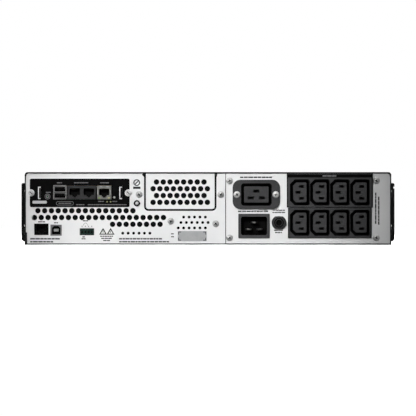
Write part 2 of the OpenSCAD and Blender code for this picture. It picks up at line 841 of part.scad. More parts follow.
// A pull tab: a narrow channel of sheet that stands out of the faceplate
module pull_tab(x) {
    y1 = rear_y - card_plate_t + 0.1;
    block([x, card_face_y - tab_reach, card_z - tab_h / 2], [x + tab_t, y1, card_z + tab_h / 2]);
    for (z = [-tab_h / 2, tab_h / 2 - tab_t])
        block([x, card_face_y - tab_reach, card_z + z], [x + tab_depth, y1, card_z + z + tab_t]);
}

tab_x = [card_x - 48.8, card_x + 47];
tab_t = 0.9;                                    // sheet of the card's pull tabs
tab_h = 14;
tab_depth = 2.6;
tab_reach = 5;

module card_faceplate() {
    color([0.86, 0.87, 0.88]) {
        slab(rear_y - card_plate_t, rear_y) difference() {
            translate([card_x, card_z]) rounded_rect(card_w, card_h, 1);
            card_port_cuts(gap);
            holes(card_screw_places, screw_r + screw_clear);
        }
        for (x = tab_x)
            pull_tab(x);
        // folded feet under the board
        for (x = [-18, 12])
            block([card_x + x - 5, rear_y - 0.1, card_board_z - card_plate_t],
                [card_x + x + 5, rear_y + 12, card_board_z]);
    }
}

module card_overlay() {
    color([0.04, 0.04, 0.045]) slab(card_face_y, rear_y - card_plate_t) difference() {
        translate([card_x, card_z]) rounded_rect(overlay_w, overlay_h, 1.8);
        card_port_cuts(gap);
        holes(card_screw_places, screw_head_r + 0.2);
        for (x = tab_x)
            translate([x - gap, card_z - tab_h / 2 - gap]) square([tab_depth + 2 * gap, tab_h + 2 * gap]);
    }
}

module card_board() {
    half = card_board_w / 2;
    color([0.08, 0.3, 0.14]) {
        block([card_x - half, rear_y + 1, card_board_z], [card_x + half, rear_y + card_d, card_board_top]);
        for (chip = [[-30, 60, 14], [-5, 58, 20], [22, 66, 12], [34, 40, 9], [0, 88, 10]])
            translate([card_x + chip[0] - chip[2] / 2, rear_y + chip[1], card_board_top])
                cube([chip[2], chip[2], 1.6]);
        // light pipes under the board
        for (x = led_x) {
            rod(x, led_z, led_r, card_face_y, rear_y + 4);
            block([x - 1, rear_y + 2, led_z], [x + 1, rear_y + 4, card_board_z]);
        }
        // console socket
        difference() {
            union() {
                rod(usb_stack_x - 14.6, card_board_top + 3.2, 1.8, card_face_y - 0.2, rear_y + 2);
                block([usb_stack_x - 17.8, rear_y + 2, card_board_top],
                    [usb_stack_x - 11.4, rear_y + 14, card_board_top + 6.4]);
            }
            rod(usb_stack_x - 14.6, card_board_top + 3.2, 1.25, card_face_y - 1, rear_y + 12);
        }
    }
}

// Face of the card's ports
card_port_y = card_face_y - port_proud;

module card_usb_ports() {
    mouth = [13.1, 5.6];
    color([0.6, 0.6, 0.6]) translate([usb_stack_x, 0, card_board_top]) {
        difference() {
            slab(card_port_y, rear_y + 17)
                translate([0, usb_stack[1] / 2]) square(usb_stack, center = true);
            for (z = [4.4, 12])
                slab(card_port_y - 1, rear_y + 14) translate([0, z]) square(mouth, center = true);
        }
        for (z = [4.4, 12])
            slab(card_port_y + 1.2, rear_y + 14) translate([0, z + 0.9]) square([11.4, 1.9], center = true);
    }
}

module card_io_ports() {
    color([0.16, 0.17, 0.17]) translate([io_block_x, 0, card_board_top]) difference() {
        slab(card_port_y, rear_y + 16) translate([0, io_block[1] / 2]) square(io_block, center = true);
        for (s = [-1, 1])
            slab(card_port_y - 1, rear_y + 13)
                translate([s * io_block[0] / 4, io_block[1] / 2 + 1]) jack_opening(12.6, 7.6);
    }
}

module card_network_port() {
    color([0.65, 0.65, 0.65]) translate([network_jack_x, 0, card_board_top]) difference() {
        slab(card_port_y, rear_y + 18)
            translate([0, network_jack[1] / 2]) square(network_jack, center = true);
        slab(card_port_y - 1, rear_y + 14)
            translate([0, network_jack[1] / 2 + 0.6]) jack_opening(12, 7.6);
    }
}

module card_thumbscrews() {
    color("silver") for (p = card_screw_places)
        translate([p[0], rear_y - card_plate_t, p[1]]) rotate([90, 0, 0]) rotate([0, 0, 45])
            difference() {
                union() {
                    cylinder(r = card_knob_r, h = 3.4);
                    translate([0, 0, -6]) cylinder(r = screw_r, h = 6.1);
                }
                translate([-4, -0.5, 2.2]) cube([8, 1, 2]);
            }
}

module card_reset_button() {
    color("white") {
        rod(card_reset_x, card_reset_z, card_reset_r, card_face_y - 0.3, rear_y + 2);
        rod(card_reset_x, card_reset_z, card_reset_r + 0.6, rear_y + 0.9, rear_y + 2);
    }
}

// ---------------------------------------------------------------- fan

module fan_shroud() {
    color([0.07, 0.07, 0.07]) difference() {
        union() {
            slab(shroud_y, fan_y) translate([vent_plate_x - shroud_w / 2, sheet_t])
                square([shroud_w, inner_top - sheet_t - 2]);
            for (p = shroud_screw_places)
                rod(p[0], p[1], boss_r, p[0] + boss_r > backing_x0 ? backing_in : panel_in, fan_y);
        }
        rod(vent_plate_x, fan_z, fan_bore_r, shroud_y - 1, fan_y + 1);
        for (p = shroud_screw_places)
            rod(p[0], p[1], screw_r + 0.05, panel_in - 1, fan_y + 1);
    }
}

module fan_frame() {
    hub_y0 = fan_y + fan_t - 5;
    color([0.1, 0.1, 0.1]) translate([vent_plate_x, 0, fan_z]) {
        difference() {
            slab(fan_y, fan_y + fan_t) rounded_rect(fan_w, fan_w, 3);
            rod(0, 0, fan_bore_r, fan_y - 1, fan_y + fan_t + 1);
            for (x = [-0.5, 0.5], z = [-0.5, 0.5])
                rod(x * fan_screw_span, z * fan_screw_span, 2, fan_y - 1, fan_y + fan_t + 1);
        }
        difference() {
            union() {
                rod(0, 0, fan_hub_r, hub_y0, hub_y0 + 5);
                for (turn = [45:90:315])
                    rotate([0, turn, 0])
                        block([fan_hub_r - 1, hub_y0 + 1, -1.5], [fan_bore_r + 0.4, hub_y0 + 4, 1.5]);
            }
            rod(0, 0, fan_bearing_r + 0.05, hub_y0 - 1, hub_y0 + 4);
        }
    }
}

module fan_rotor() {
    y0 = fan_y + 2;
    y1 = fan_y + fan_t - 6;
    color([0.15, 0.15, 0.15]) translate([vent_plate_x, 0, fan_z]) {
        rod(0, 0, fan_hub_r, y0, y1);
        rod(0, 0, fan_bearing_r, y1, y1 + 4);
        intersection() {
            rod(0, 0, fan_tip_r, y0, y1);
            for (i = [0:fan_blades - 1])
                rotate([0, i * 360 / fan_blades, 0])
                    translate([fan_hub_r - 0.6, (y0 + y1) / 2, 0]) rotate([38, 0, 0])
                        translate([0, -13, -0.8]) cube([fan_tip_r - fan_hub_r + 2, 26, 1.6]);
        }
    }
}

// ---------------------------------------------------------------- inside

transformer_at = [left_x + 92, bay_y - 180];
core_size = [150, 130, 56];
core_z0 = 14;
core_leg_w = 48;
core_window = [24, 78];                         // each window of the core, where the coil passes

module transformer_core() {
    size = core_size;
    color([0.35, 0.34, 0.33]) translate([transformer_at[0], transformer_at[1], core_z0]) {
        difference() {
            translate([-size[0] / 2, -size[1] / 2, 0]) cube(size);
            for (s = [-1, 1])
                translate([s * (core_leg_w + core_window[0]) / 2, 0, size[2] / 2])
                    cube([core_window[0], core_window[1], size[2] + 2], center = true);
        }
        // feet that carry the stack on the base pan
        for (s = [-1, 1])
            translate([-size[0] / 2 + 6, s * (size[1] / 2 - 7) - 7, sheet_t - core_z0])
                cube([size[0] - 12, 14, core_z0 - sheet_t]);
    }
}

module transformer_coil() {
    wound = [2 * core_window[0] + core_leg_w - 2, core_window[1] - 2, core_size[2] + 20];
    color([0.55, 0.3, 0.12]) translate([transformer_at[0], transformer_at[1], core_z0 + core_size[2] / 2])
        difference() {
            cube(wound, center = true);
            cube([core_leg_w, wound[1] + 2, core_size[2]], center = true);
        }
}

board_x0 = left_x + 178;
board_y0 = rear_y + 62;
board_y1 = bay_y - 22;
power_board_z = 10;

module standoffs(places, z1) {
    for (p = places)
        translate([p[0], p[1], sheet_t]) cylinder(r = 3, h = z1 - sheet_t);
}

module power_board() {
    x1 = right_x - 12;
    color([0.1, 0.33, 0.16]) {
        block([board_x0, board_y0, power_board_z], [x1, board_y1, power_board_z + board_t]);
        standoffs([for (x = [board_x0 + 8, x1 - 8], y = [board_y0 + 8, board_y1 - 8]) [x, y]],
            power_board_z);
        // relays and a filter choke
        for (i = [0:3])
            translate([board_x0 + 12 + i * 26, board_y0 + 14, power_board_z + board_t])
                cube([20, 28, 22]);
        translate([x1 - 42, board_y0 + 40, power_board_z + board_t]) difference() {
            cylinder(r = 20, h = 18);
            translate([0, 0, -1]) cylinder(r = 9, h = 20);
        }
    }
}

module heatsinks() {
    l = 200;
    fins = 11;
    fin_pitch = 4.6;
    color([0.7, 0.71, 0.73]) for (x = [board_x0 + 14, board_x0 + 98])
        translate([x, board_y1 - l - 16, power_board_z + board_t]) {
            cube([4, l, 56]);
            for (i = [0:fins - 1])
                translate([3.9, 0, 3 + i * fin_pitch]) cube([28, l, 1.8]);
        }
}

module capacitors() {
    r = 15;
    h = 48;
    color([0.12, 0.16, 0.3]) for (i = [0:4])
        translate([board_x0 + 64, board_y1 - 30 - i * 34, power_board_z + board_t]) {
            cylinder(r = r, h = h - 4);
            translate([0, 0, h - 4]) cylinder(r = r - 1, h = 1.2);
            translate([0, 0, h - 2.8]) cylinder(r = r, h = 2.8);
        }
}

module control_board() {
    x0 = left_x + 8;
    x1 = left_x + 92;
    y1 = rear_y + card_d - 16;
    color([0.08, 0.32, 0.2]) {
        block([x0, rear_y + 3, control_board_top - board_t], [x1, y1, control_board_top]);
        standoffs([for (x = [x0 + 6, x1 - 6], y = [rear_y + 24, y1 - 6]) [x, y]],
            control_board_top - board_t);
        for (chip = [[20, 40, 18], [52, 34, 14], [30, 68, 12], [60, 66, 10]])
            translate([x0 + chip[0], rear_y + chip[1], control_board_top])
                cube([chip[2], chip[2], 2]);
    }
}

// Walls of the battery bay, the frame round its mouth and the plate behind the display
module battery_bay() {
    z1 = body_h - 4;
    x0 = -inner_w / 2 + sheet_t + gap;
    plate_y = front_y - drawer_t;
    color([0.78, 0.79, 0.8]) difference() {
        union() {
            block([x0, bay_y, sheet_t], [bay_x1, bay_y + sheet_t, z1]);
            block([bay_x1 - sheet_t, bay_y, sheet_t], [bay_x1, front_y, z1]);
            block([x0, plate_y - sheet_t, sheet_t], [drawer_x0 + 3 - gap, plate_y, inner_top]);
            block([x0, plate_y - sheet_t, rail_z0], [bay_x1, plate_y, inner_top]);
            block([bay_x1 - sheet_t, plate_y, sheet_t], [-x0, front_y, z1]);
        }
        translate([drawer_plug_x, bay_y, drawer_plug_z])
            cube([battery_shell[0] + 2 * gap, 4 * sheet_t, battery_shell[1] + 2 * gap], center = true);
        for (p = drawer_screw_places)
            rod(p[0], p[1], screw_r + screw_clear, plate_y - 2 * sheet_t, plate_y + 1);
    }
}

// ---------------------------------------------------------------- battery drawer

module battery_socket() {
    color([0.5, 0.5, 0.52]) translate([drawer_plug_x, 0, drawer_plug_z]) difference() {
        union() {
            slab(bay_y - 14, mate_y - gap) square(battery_shell, center = true);
            slab(bay_y - 2, bay_y) square(battery_shell + [14, 4], center = true);
        }
        for (s = [-1, 1])
            slab(mate_y - plug_tongue_l - 2, mate_y)
                translate([s * plug_spread / 2, 0]) square(plug_tongue + [0.8, 0.8], center = true);
    }
}

module battery_plug() {
    color([0.5, 0.5, 0.52]) translate([drawer_plug_x, 0, drawer_plug_z]) {
        slab(mate_y, drawer_back_y) square(battery_shell, center = true);
        for (s = [-1, 1])
            slab(mate_y - plug_tongue_l, mate_y)
                translate([s * plug_spread / 2, 0]) square(plug_tongue, center = true);
    }
}

module battery_tray() {
    side_y1 = front_y - drawer_t;
    color([0.8, 0.81, 0.82]) {
        // floor, sides and back of the tray
        block([drawer_x0 + 3, drawer_back_y, drawer_z0], [drawer_x1 - 3, side_y1, drawer_z0 + sheet_t]);
        for (x = [drawer_x0 + 3, drawer_x1 - 3 - sheet_t])
            block([x, drawer_back_y, drawer_z0], [x + sheet_t, side_y1, drawer_z0 + drawer_side_h]);
        block([drawer_x0 + 3, drawer_back_y, drawer_z0],
            [drawer_x1 - 3, drawer_back_y + sheet_t, drawer_z0 + drawer_side_h]);
        // front plate
        slab(side_y1, front_y) difference() {
            translate([drawer_x0, drawer_z0]) square([drawer_w, drawer_plate_h]);
            holes([for (x = [drawer_x0 + post_inset_x, drawer_x1 - post_inset_x], z = post_z) [x, z]],
                post_r + slide_clear);
            holes(drawer_screw_places, screw_r + screw_clear);
            holes([for (s = [-1, 1]) [handle_x + s * (handle_w / 2 - handle_bar), handle_z]], screw_r);
        }
    }
}

drawer_screw_places = [for (x = [drawer_x0 + drawer_screw_inset, drawer_x1 - drawer_screw_inset])
    [x, drawer_screw_z]];

module each_block() {
    for (col = [0:blocks_x - 1], r = [0:blocks_y - 1])
        translate([(drawer_x0 + drawer_x1) / 2 + (col - (blocks_x - 1) / 2) * (block_w + block_gap),
                blocks_y0 + (r + 0.5) * (block_d + block_gap), drawer_z0 + sheet_t])
            children();
}

module battery_blocks() {
    lid = 6;
    color([0.14, 0.14, 0.15]) each_block() {
        translate([-block_w / 2, -block_d / 2, 0]) cube([block_w, block_d, block_h - lid]);
        translate([-block_w / 2 + 1, -block_d / 2 + 1, block_h - lid])
            cube([block_w - 2, block_d - 2, lid]);
    }
}

// Flat straps that join the terminals of neighbouring blocks
module battery_links() {
    z = drawer_z0 + sheet_t + block_h;
    x0 = (drawer_x0 + drawer_x1) / 2;
    color("orangered") for (r = [0:blocks_y - 1], i = [-1:1])
        translate([x0 + i * (block_w + block_gap) - 14,
                blocks_y0 + (r + 0.5) * (block_d + block_gap) - 5, z])
            cube([28, 10, 1.4]);
}

module battery_handle() {
    y1 = front_y + handle_reach;
    foot = 2 * handle_bar;
    color([0.08, 0.08, 0.08]) translate([handle_x, 0, handle_z]) {
        slab(y1 - handle_bar, y1) rounded_rect(handle_w, 14, 4);
        for (s = [-1, 1])
            translate([s * (handle_w / 2 - handle_bar), 0, 0]) {
                slab(front_y, y1 - handle_bar) square([foot, 12], center = true);
                rod(0, 0, screw_r - 0.1, front_y - drawer_t - 1, front_y);
            }
    }
}

module battery_thumbscrews() {
    color("silver") for (p = drawer_screw_places)
        translate([p[0], front_y, p[1]]) rotate([-90, 0, 0]) difference() {
            union() {
                cylinder(r = thumb_head_r, h = 8);
                translate([0, 0, -5]) cylinder(r = screw_r, h = 5.1);
            }
            translate([-thumb_head_r - 1, -0.6, 6.8]) cube([2 * thumb_head_r + 2, 1.2, 2]);
        }
}

// ---------------------------------------------------------------- front

fascia_x0 = left_x;
fascia_x1 = bay_x1 + 0.2;
grille_n = floor((fascia_x1 - fascia_x0 - 24) / grille_pitch);

module front_fascia() {
    w = fascia_x1 - fascia_x0;
    cx = (fascia_x0 + fascia_x1) / 2;
    cz = (front_z0 + front_z1) / 2;
    h = front_z1 - front_z0;
    color([0.05, 0.05, 0.055]) {
        difference() {
            slab(front_y + 0.5, front_face_y) translate([cx, cz]) rounded_rect(w, h, 3);
            slab(front_y - 1, front_face_y - front_wall)
                translate([cx, cz]) rounded_rect(w - 2 * front_wall, h - 2 * front_wall, 1.5);
            slab(front_face_y - front_wall - 1, front_face_y + 1)
                for (i = [0:grille_n - 1])
                    translate([cx + (i - (grille_n - 1) / 2) * grille_pitch, cz])
                        square([grille_slot, h - 22], center = true);
        }
        for (x = [drawer_x0 + post_inset_x, drawer_x1 - post_inset_x], z = post_z)
            rod(x, z, post_r, front_y - drawer_t - post_l, front_face_y - front_wall + 0.2);
    }
}

// A rack ear: an angle with two slots. notch is the depth of the nick in its outer edge.
module ear(s, notch) {
    x0 = body_w / 2;
    x1 = rack_w / 2;
    z1 = ear_z0 + ear_h;
    slot = rack_slot_l - 2 * rack_slot_r;
    color([0.03, 0.03, 0.03]) difference() {
        union() {
            // flange along the chassis side
            translate([s > 0 ? x0 : -x0 - ear_t, front_y - ear_reach, ear_z0])
                cube([ear_t, ear_reach, ear_h]);
            // plate against the rack rail
            slab(front_y - ear_t, front_y) mirror([s > 0 ? 0 : 1, 0])
                polygon(concat(
                    [[x0, z1], [x0, ear_z0]],
                    arc([x1 - ear_foot_r, ear_z0 + ear_foot_r], ear_foot_r, 270, 360),
                    arc([x1 - ear_r, z1 - ear_r], ear_r, 0, 90)));
        }
        for (k = [0, 1])
            slab(front_y - ear_t - 1, front_y + 1)
                translate([s * rack_hole_span / 2, rack_hole_z + k * rack_hole_rise]) {
                    square([slot, 2 * rack_slot_r], center = true);
                    for (e = [-1, 1])
                        translate([e * slot / 2, 0]) circle(r = rack_slot_r);
                }
        for (p = ear_screw_places)
            translate([s * x0 - 5, p[0], p[1]]) rotate([0, 90, 0])
                cylinder(r = screw_r + screw_clear, h = 10);
        if (notch > 0)
            translate([x1 - notch, front_y - ear_t - 1, z1 - 7]) cube([notch + 1, ear_t + 2, 2.2]);
    }
}

module left_ear() {
    ear(-1, 0);
}

module right_ear() {
    ear(1, 1.4);
}

module chassis_screws() {
    color([0.1, 0.1, 0.1]) for (s = [-1, 1]) {
        for (p = ear_screw_places)
            translate([s * (body_w / 2 + ear_t), p[0], p[1]]) rotate([0, s * 90, 0]) screw();
        for (p = cover_screw_places)
            translate([s * body_w / 2, p[0], p[1]]) rotate([0, s * 90, 0]) screw(head_h = 1.8);
    }
}

display_w = right_x - display_x0;
key_x = [display_x - key_pitch, display_x, display_x + key_pitch];

module display_housing() {
    cz = (front_z0 + front_z1) / 2;
    h = front_z1 - front_z0;
    color([0.05, 0.05, 0.055]) difference() {
        slab(front_y, front_face_y) translate([display_x, cz]) rounded_rect(display_w, h, 3);
        slab(front_y - 1, front_face_y - front_wall)
            translate([display_x, cz]) rounded_rect(display_w - 2 * front_wall, h - 2 * front_wall, 1.5);
        slab(front_face_y - front_wall - 1, front_face_y + 1) {
            translate([display_x, lcd_z]) rounded_rect(lcd_w + 2 * gap, lcd_h + 2 * gap, 1.5);
            holes([for (x = key_x) [x, key_z]], key_r + slide_clear);
            translate([display_x, power_key_z]) circle(r = power_key_r + slide_clear);
        }
    }
}

module display_window() {
    color([0.1, 0.14, 0.2]) slab(front_face_y - front_wall, front_face_y - 0.4)
        translate([display_x, lcd_z]) rounded_rect(lcd_w, lcd_h, 1.4);
}

// Plane that the pressed buttons' feet reach
key_foot_y = front_face_y - front_wall - key_flange - 0.1;

module display_board() {
    y1 = key_foot_y - button_travel - 0.4;
    color([0.08, 0.3, 0.15]) {
        slab(y1 - board_t, y1) translate([display_x, body_h / 2])
            square([display_w - 2 * front_wall - 2, body_h - 14], center = true);
        slab(y1, front_face_y - front_wall) translate([display_x, lcd_z])
            square([lcd_w - 4, lcd_h - 2], center = true);
        for (x = [-1, 1], z = [12, body_h - 12])
            rod(display_x + x * (display_w / 2 - 7), z, 2.5, front_y, y1 - board_t + 0.1);
    }
}

// A front button: a cap through the housing with a flange behind it
module key(x, z, r) {
    rod(x, z, r, key_foot_y, front_face_y + key_proud);
    rod(x, z, r + 1, key_foot_y, key_foot_y + key_flange);
}

module power_button() {
    color([0.2, 0.2, 0.2]) key(display_x, power_key_z, power_key_r);
}

module up_button() {
    color([0.3, 0.3, 0.3]) key(key_x[0], key_z, key_r);
}

module down_button() {
    color([0.3, 0.3, 0.3]) key(key_x[1], key_z, key_r);
}

module enter_button() {
    color([0.3, 0.3, 0.3]) key(key_x[2], key_z, key_r);
}

base_pan();
top_cover();
rear_panel();
vent_plate();
power_panel();
rear_panel_screws();
power_panel_screws();
c19_outlet();
c19_outlet_screws();
c20_inlet();
c20_inlet_pins();
breaker_body();
breaker_nut();
breaker_button();
upper_outlet_bank();
lower_outlet_bank();
outlet_contacts();
serial_port();
usb_port();
epo_header();
epo_plug();
ground_stud();
rating_plate();
card_guides();
card_faceplate();
card_overlay();
card_board();
card_usb_ports();
card_io_ports();
card_network_port();
card_thumbscrews();
card_reset_button();
fan_shroud();
fan_frame();
fan_rotor();
transformer_core();
transformer_coil();
power_board();
heatsinks();
capacitors();
control_board();
battery_bay();
battery_socket();
battery_tray();
battery_blocks();
battery_links();
battery_plug();
battery_handle();
battery_thumbscrews();
front_fascia();
left_ear();
right_ear();
chassis_screws();
display_housing();
display_window();
display_board();
power_button();
up_button();
down_button();
enter_button();
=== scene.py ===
"""Two-unit rackmount UPS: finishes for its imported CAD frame, and the fine pieces that sit on it.

Lengths in this file are millimetres in the row frame unless a name says metres: X runs right, Y runs
from the rear panel to the front, Z is up.
"""
import json
import math
import random

import bmesh
import bpy
from mathutils import Matrix, Vector

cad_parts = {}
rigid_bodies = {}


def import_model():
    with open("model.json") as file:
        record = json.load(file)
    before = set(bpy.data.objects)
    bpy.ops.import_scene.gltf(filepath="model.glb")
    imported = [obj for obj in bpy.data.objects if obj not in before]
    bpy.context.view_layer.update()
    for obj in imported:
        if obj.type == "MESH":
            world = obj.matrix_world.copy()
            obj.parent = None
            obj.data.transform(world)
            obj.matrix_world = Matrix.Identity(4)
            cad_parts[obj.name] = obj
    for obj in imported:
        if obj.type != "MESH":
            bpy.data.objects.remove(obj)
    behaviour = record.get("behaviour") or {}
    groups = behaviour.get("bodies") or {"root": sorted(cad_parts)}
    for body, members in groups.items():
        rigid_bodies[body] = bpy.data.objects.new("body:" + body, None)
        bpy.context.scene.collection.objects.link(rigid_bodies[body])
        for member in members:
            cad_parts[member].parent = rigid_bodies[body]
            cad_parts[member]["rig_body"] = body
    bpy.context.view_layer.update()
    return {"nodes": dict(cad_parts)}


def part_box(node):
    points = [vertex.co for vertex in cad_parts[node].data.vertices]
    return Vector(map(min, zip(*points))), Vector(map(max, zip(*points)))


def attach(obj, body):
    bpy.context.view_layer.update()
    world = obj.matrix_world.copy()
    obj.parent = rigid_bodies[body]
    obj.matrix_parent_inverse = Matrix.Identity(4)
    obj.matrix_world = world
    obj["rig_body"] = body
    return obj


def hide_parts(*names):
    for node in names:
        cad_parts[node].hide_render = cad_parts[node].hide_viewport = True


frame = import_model()
METRE = 1000.0
INK_DEPTH = 0.06            # thickness of a printed mark
SHARP_ANGLE = math.radians(35)


# ---------------------------------------------------------------- places, from the frame

class Span:
    """The box of a CAD node or of one of its solids."""

    def __init__(self, low, high):
        self.low, self.high = Vector(low), Vector(high)
        self.mid = (self.low + self.high) / 2
        self.size = self.high - self.low


def span(node):
    low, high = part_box(node)
    return Span(low * METRE, high * METRE)


def body_of(node):
    return frame["nodes"][node]["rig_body"]


def solids(node):
    """The separate solids of a CAD node, lowest first and then from left to right."""
    shell = bmesh.new()
    shell.from_mesh(frame["nodes"][node].data)
    bmesh.ops.remove_doubles(shell, verts=shell.verts, dist=1e-6)
    shell.verts.ensure_lookup_table()
    seen, found = set(), []
    for start in shell.verts:
        if start.index in seen:
            continue
        stack, points = [start], []
        seen.add(start.index)
        while stack:
            vert = stack.pop()
            points.append(vert.co * METRE)
            for edge in vert.link_edges:
                other = edge.other_vert(vert)
                if other.index not in seen:
                    seen.add(other.index)
                    stack.append(other)
        found.append(Span([min(p[i] for p in points) for i in range(3)],
                          [max(p[i] for p in points) for i in range(3)]))
    shell.free()
    return sorted(found, key=lambda s: (round(s.mid.z), round(s.mid.x), round(s.mid.y)))


def groups(boxes, reach):
    """Boxes whose centres lie within reach of each other across the panel, as lists."""
    found = []
    for box in boxes:
        near = [g for g in found if any(math.hypot(box.mid.x - b.mid.x, box.mid.z - b.mid.z) < reach
                                        for b in g)]
        joined = [box] + [b for g in near for b in g]
        found = [g for g in found if g not in near] + [joined]
    return found


# ---------------------------------------------------------------- outlines

def circle(r, n=32, turn=0.0):
    return [(r * math.cos(turn + 2 * math.pi * i / n), r * math.sin(turn + 2 * math.pi * i / n))
            for i in range(n)]


def rounded(w, h, r, n=6):
    points = []
    for k, (sx, sz) in enumerate(((1, 1), (-1, 1), (-1, -1), (1, -1))):
        for i in range(n + 1):
            a = math.pi / 2 * (k + i / n)
            points.append((sx * (w / 2 - r) + r * math.cos(a), sz * (h / 2 - r) + r * math.sin(a)))
    return points


def outlet_outline(w, h, cut, r, n=5):
    """A small outlet's outline: cut corners on the earth side, rounded ones on the other."""
    points = [(cut - w / 2, -h / 2)]
    for start, cz in ((-math.pi / 2, r - h / 2), (0, h / 2 - r)):
        for i in range(n + 1):
            a = start + math.pi / 2 * i / n
            points.append((w / 2 - r + r * math.cos(a), cz + r * math.sin(a)))
    return points + [(cut - w / 2, h / 2), (-w / 2, h / 2 - cut), (-w / 2, cut - h / 2)]


def moved(outline, x, z):
    return [(px + x, pz + z) for px, pz in outline]


def rotated(outline, angle):
    c, n = math.cos(angle), math.sin(angle)
    return [(p * c - q * n, p * n + q * c) for p, q in outline]


# ---------------------------------------------------------------- meshes

AXES = {
    "+X": (Vector((0, 1, 0)), Vector((0, 0, 1)), Vector((1, 0, 0))),
    "-X": (Vector((0, 1, 0)), Vector((0, 0, 1)), Vector((-1, 0, 0))),
    "+Y": (Vector((1, 0, 0)), Vector((0, 0, 1)), Vector((0, 1, 0))),
    "-Y": (Vector((1, 0, 0)), Vector((0, 0, 1)), Vector((0, -1, 0))),
    "+Z": (Vector((1, 0, 0)), Vector((0, 1, 0)), Vector((0, 0, 1))),
}


class Shape:
    """A mesh being built, in millimetres."""

    def __init__(self):
        self.mesh = bmesh.new()

    def face(self, verts):
        if len(set(verts)) > 2:
            self.mesh.faces.new(verts)

    def loops(self, rings, caps=True):
        """Joins rings of points into a skin, with caps on its first and last ring."""
        made = [[self.mesh.verts.new(p) for p in ring] for ring in rings]
        for a, b in zip(made, made[1:]):
            for i in range(len(a)):
                j = (i + 1) % len(a)
                self.face([a[i], a[j], b[j], b[i]])
        if caps:
            self.face(made[0])
            self.face(list(reversed(made[-1])))

    def block(self, low, high):
        x0, y0, z0 = low
        x1, y1, z1 = high
        self.loops([[(x0, y0, z), (x1, y0, z), (x1, y1, z), (x0, y1, z)] for z in (z0, z1)])

    def prism(self, outline, low, high, axis="+Y", at=(0, 0, 0)):
        """An outline drawn across an axis, made solid from low to high along it."""
        u, v, w = AXES[axis]
        base = Vector(at)
        self.loops([[base + u * p + v * q + w * level for p, q in outline] for level in (low, high)])

    def frame(self, outer, inner, low, high, axis="+Y", at=(0, 0, 0)):
        """A prism with a hole. Both outlines have the same number of points."""
        u, v, w = AXES[axis]
        base = Vector(at)
        rings = []
        for outline, level in ((outer, low), (outer, high), (inner, high), (inner, low), (outer, low)):
            rings.append([base + u * p + v * q + w * level for p, q in outline])
        self.loops(rings, caps=False)

    def lathe(self, profile, at, axis="-Y", steps=32):
        """Points (radius, height) turned about an axis through at."""
        u, v, w = AXES[axis]
        base = Vector(at)
        rings = [[base + u * (max(r, 0.001) * c) + v * (max(r, 0.001) * s) + w * h
                  for c, s in circle(1, steps)] for r, h in profile]
        self.loops(rings)

    def tube(self, points, radius, sides=8):
        """A round wire along points."""
        path = [Vector(p) for p in points]
        normal = None
        rings = []
        for i, p in enumerate(path):
            ahead = (path[min(i + 1, len(path) - 1)] - path[max(i - 1, 0)]).normalized()
            if normal is None:
                normal = ahead.orthogonal().normalized()
            normal = (normal - ahead * normal.dot(ahead)).normalized()
            side = ahead.cross(normal)
            rings.append([p + normal * (radius * c) + side * (radius * s) for c, s in circle(1, sides)])
        self.loops(rings)

    def words(self, x0, x1, z, height, y, seed, upright=False):
        """A line of small print, greeked: one bar for each word."""
        pick = random.Random(seed)
        here = x0
        while here < x1 - height:
            end = min(here + height * pick.uniform(1.4, 3.8), x1)
            if upright:
                self.block((z - height / 2, y - INK_DEPTH, here), (z + height / 2, y, end))
            else:
                self.block((here, y - INK_DEPTH, z - height / 2), (end, y, z + height / 2))
            here = end + height * 0.3

    def stamp(self, source, matrix):
        """Adds a copy of another shape."""
        copied = {v: self.mesh.verts.new(matrix @ v.co) for v in source.mesh.verts}
        for f in source.mesh.faces:
            self.mesh.faces.new([copied[v] for v in f.verts])

    def piece(self, name, look, body, slot, bevel=0.0, replaces=()):
        """Finishes the mesh and makes it a piece of the model."""
        bmesh.ops.remove_doubles(self.mesh, verts=self.mesh.verts, dist=1e-4)
        bmesh.ops.recalc_face_normals(self.mesh, faces=self.mesh.faces)
        bmesh.ops.scale(self.mesh, vec=Vector((1, 1, 1)) / METRE, verts=self.mesh.verts)
        mesh = bpy.data.meshes.new(name)
        self.mesh.to_mesh(mesh)
        self.mesh.free()
        mesh.shade_smooth()
        piece = bpy.data.objects.new(name, mesh)
        bpy.context.scene.collection.objects.link(piece)
        mesh.materials.append(look)
        if bevel:
            soften(piece, bevel)
        else:
            mesh.set_sharp_from_angle(angle=SHARP_ANGLE)
        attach(piece, body)
        if replaces:
            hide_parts(*replaces)
        return piece


def soften(obj, width):
    """Rounds an object's edges and shades its flats flat."""
    bevel = obj.modifiers.new("edges", "BEVEL")
    bevel.width = width / METRE
    bevel.segments = 2
    bevel.limit_method = "ANGLE"
    bevel.angle_limit = SHARP_ANGLE
    bevel.use_clamp_overlap = True
    obj.modifiers.new("shading", "WEIGHTED_NORMAL")


# ---------------------------------------------------------------- materials

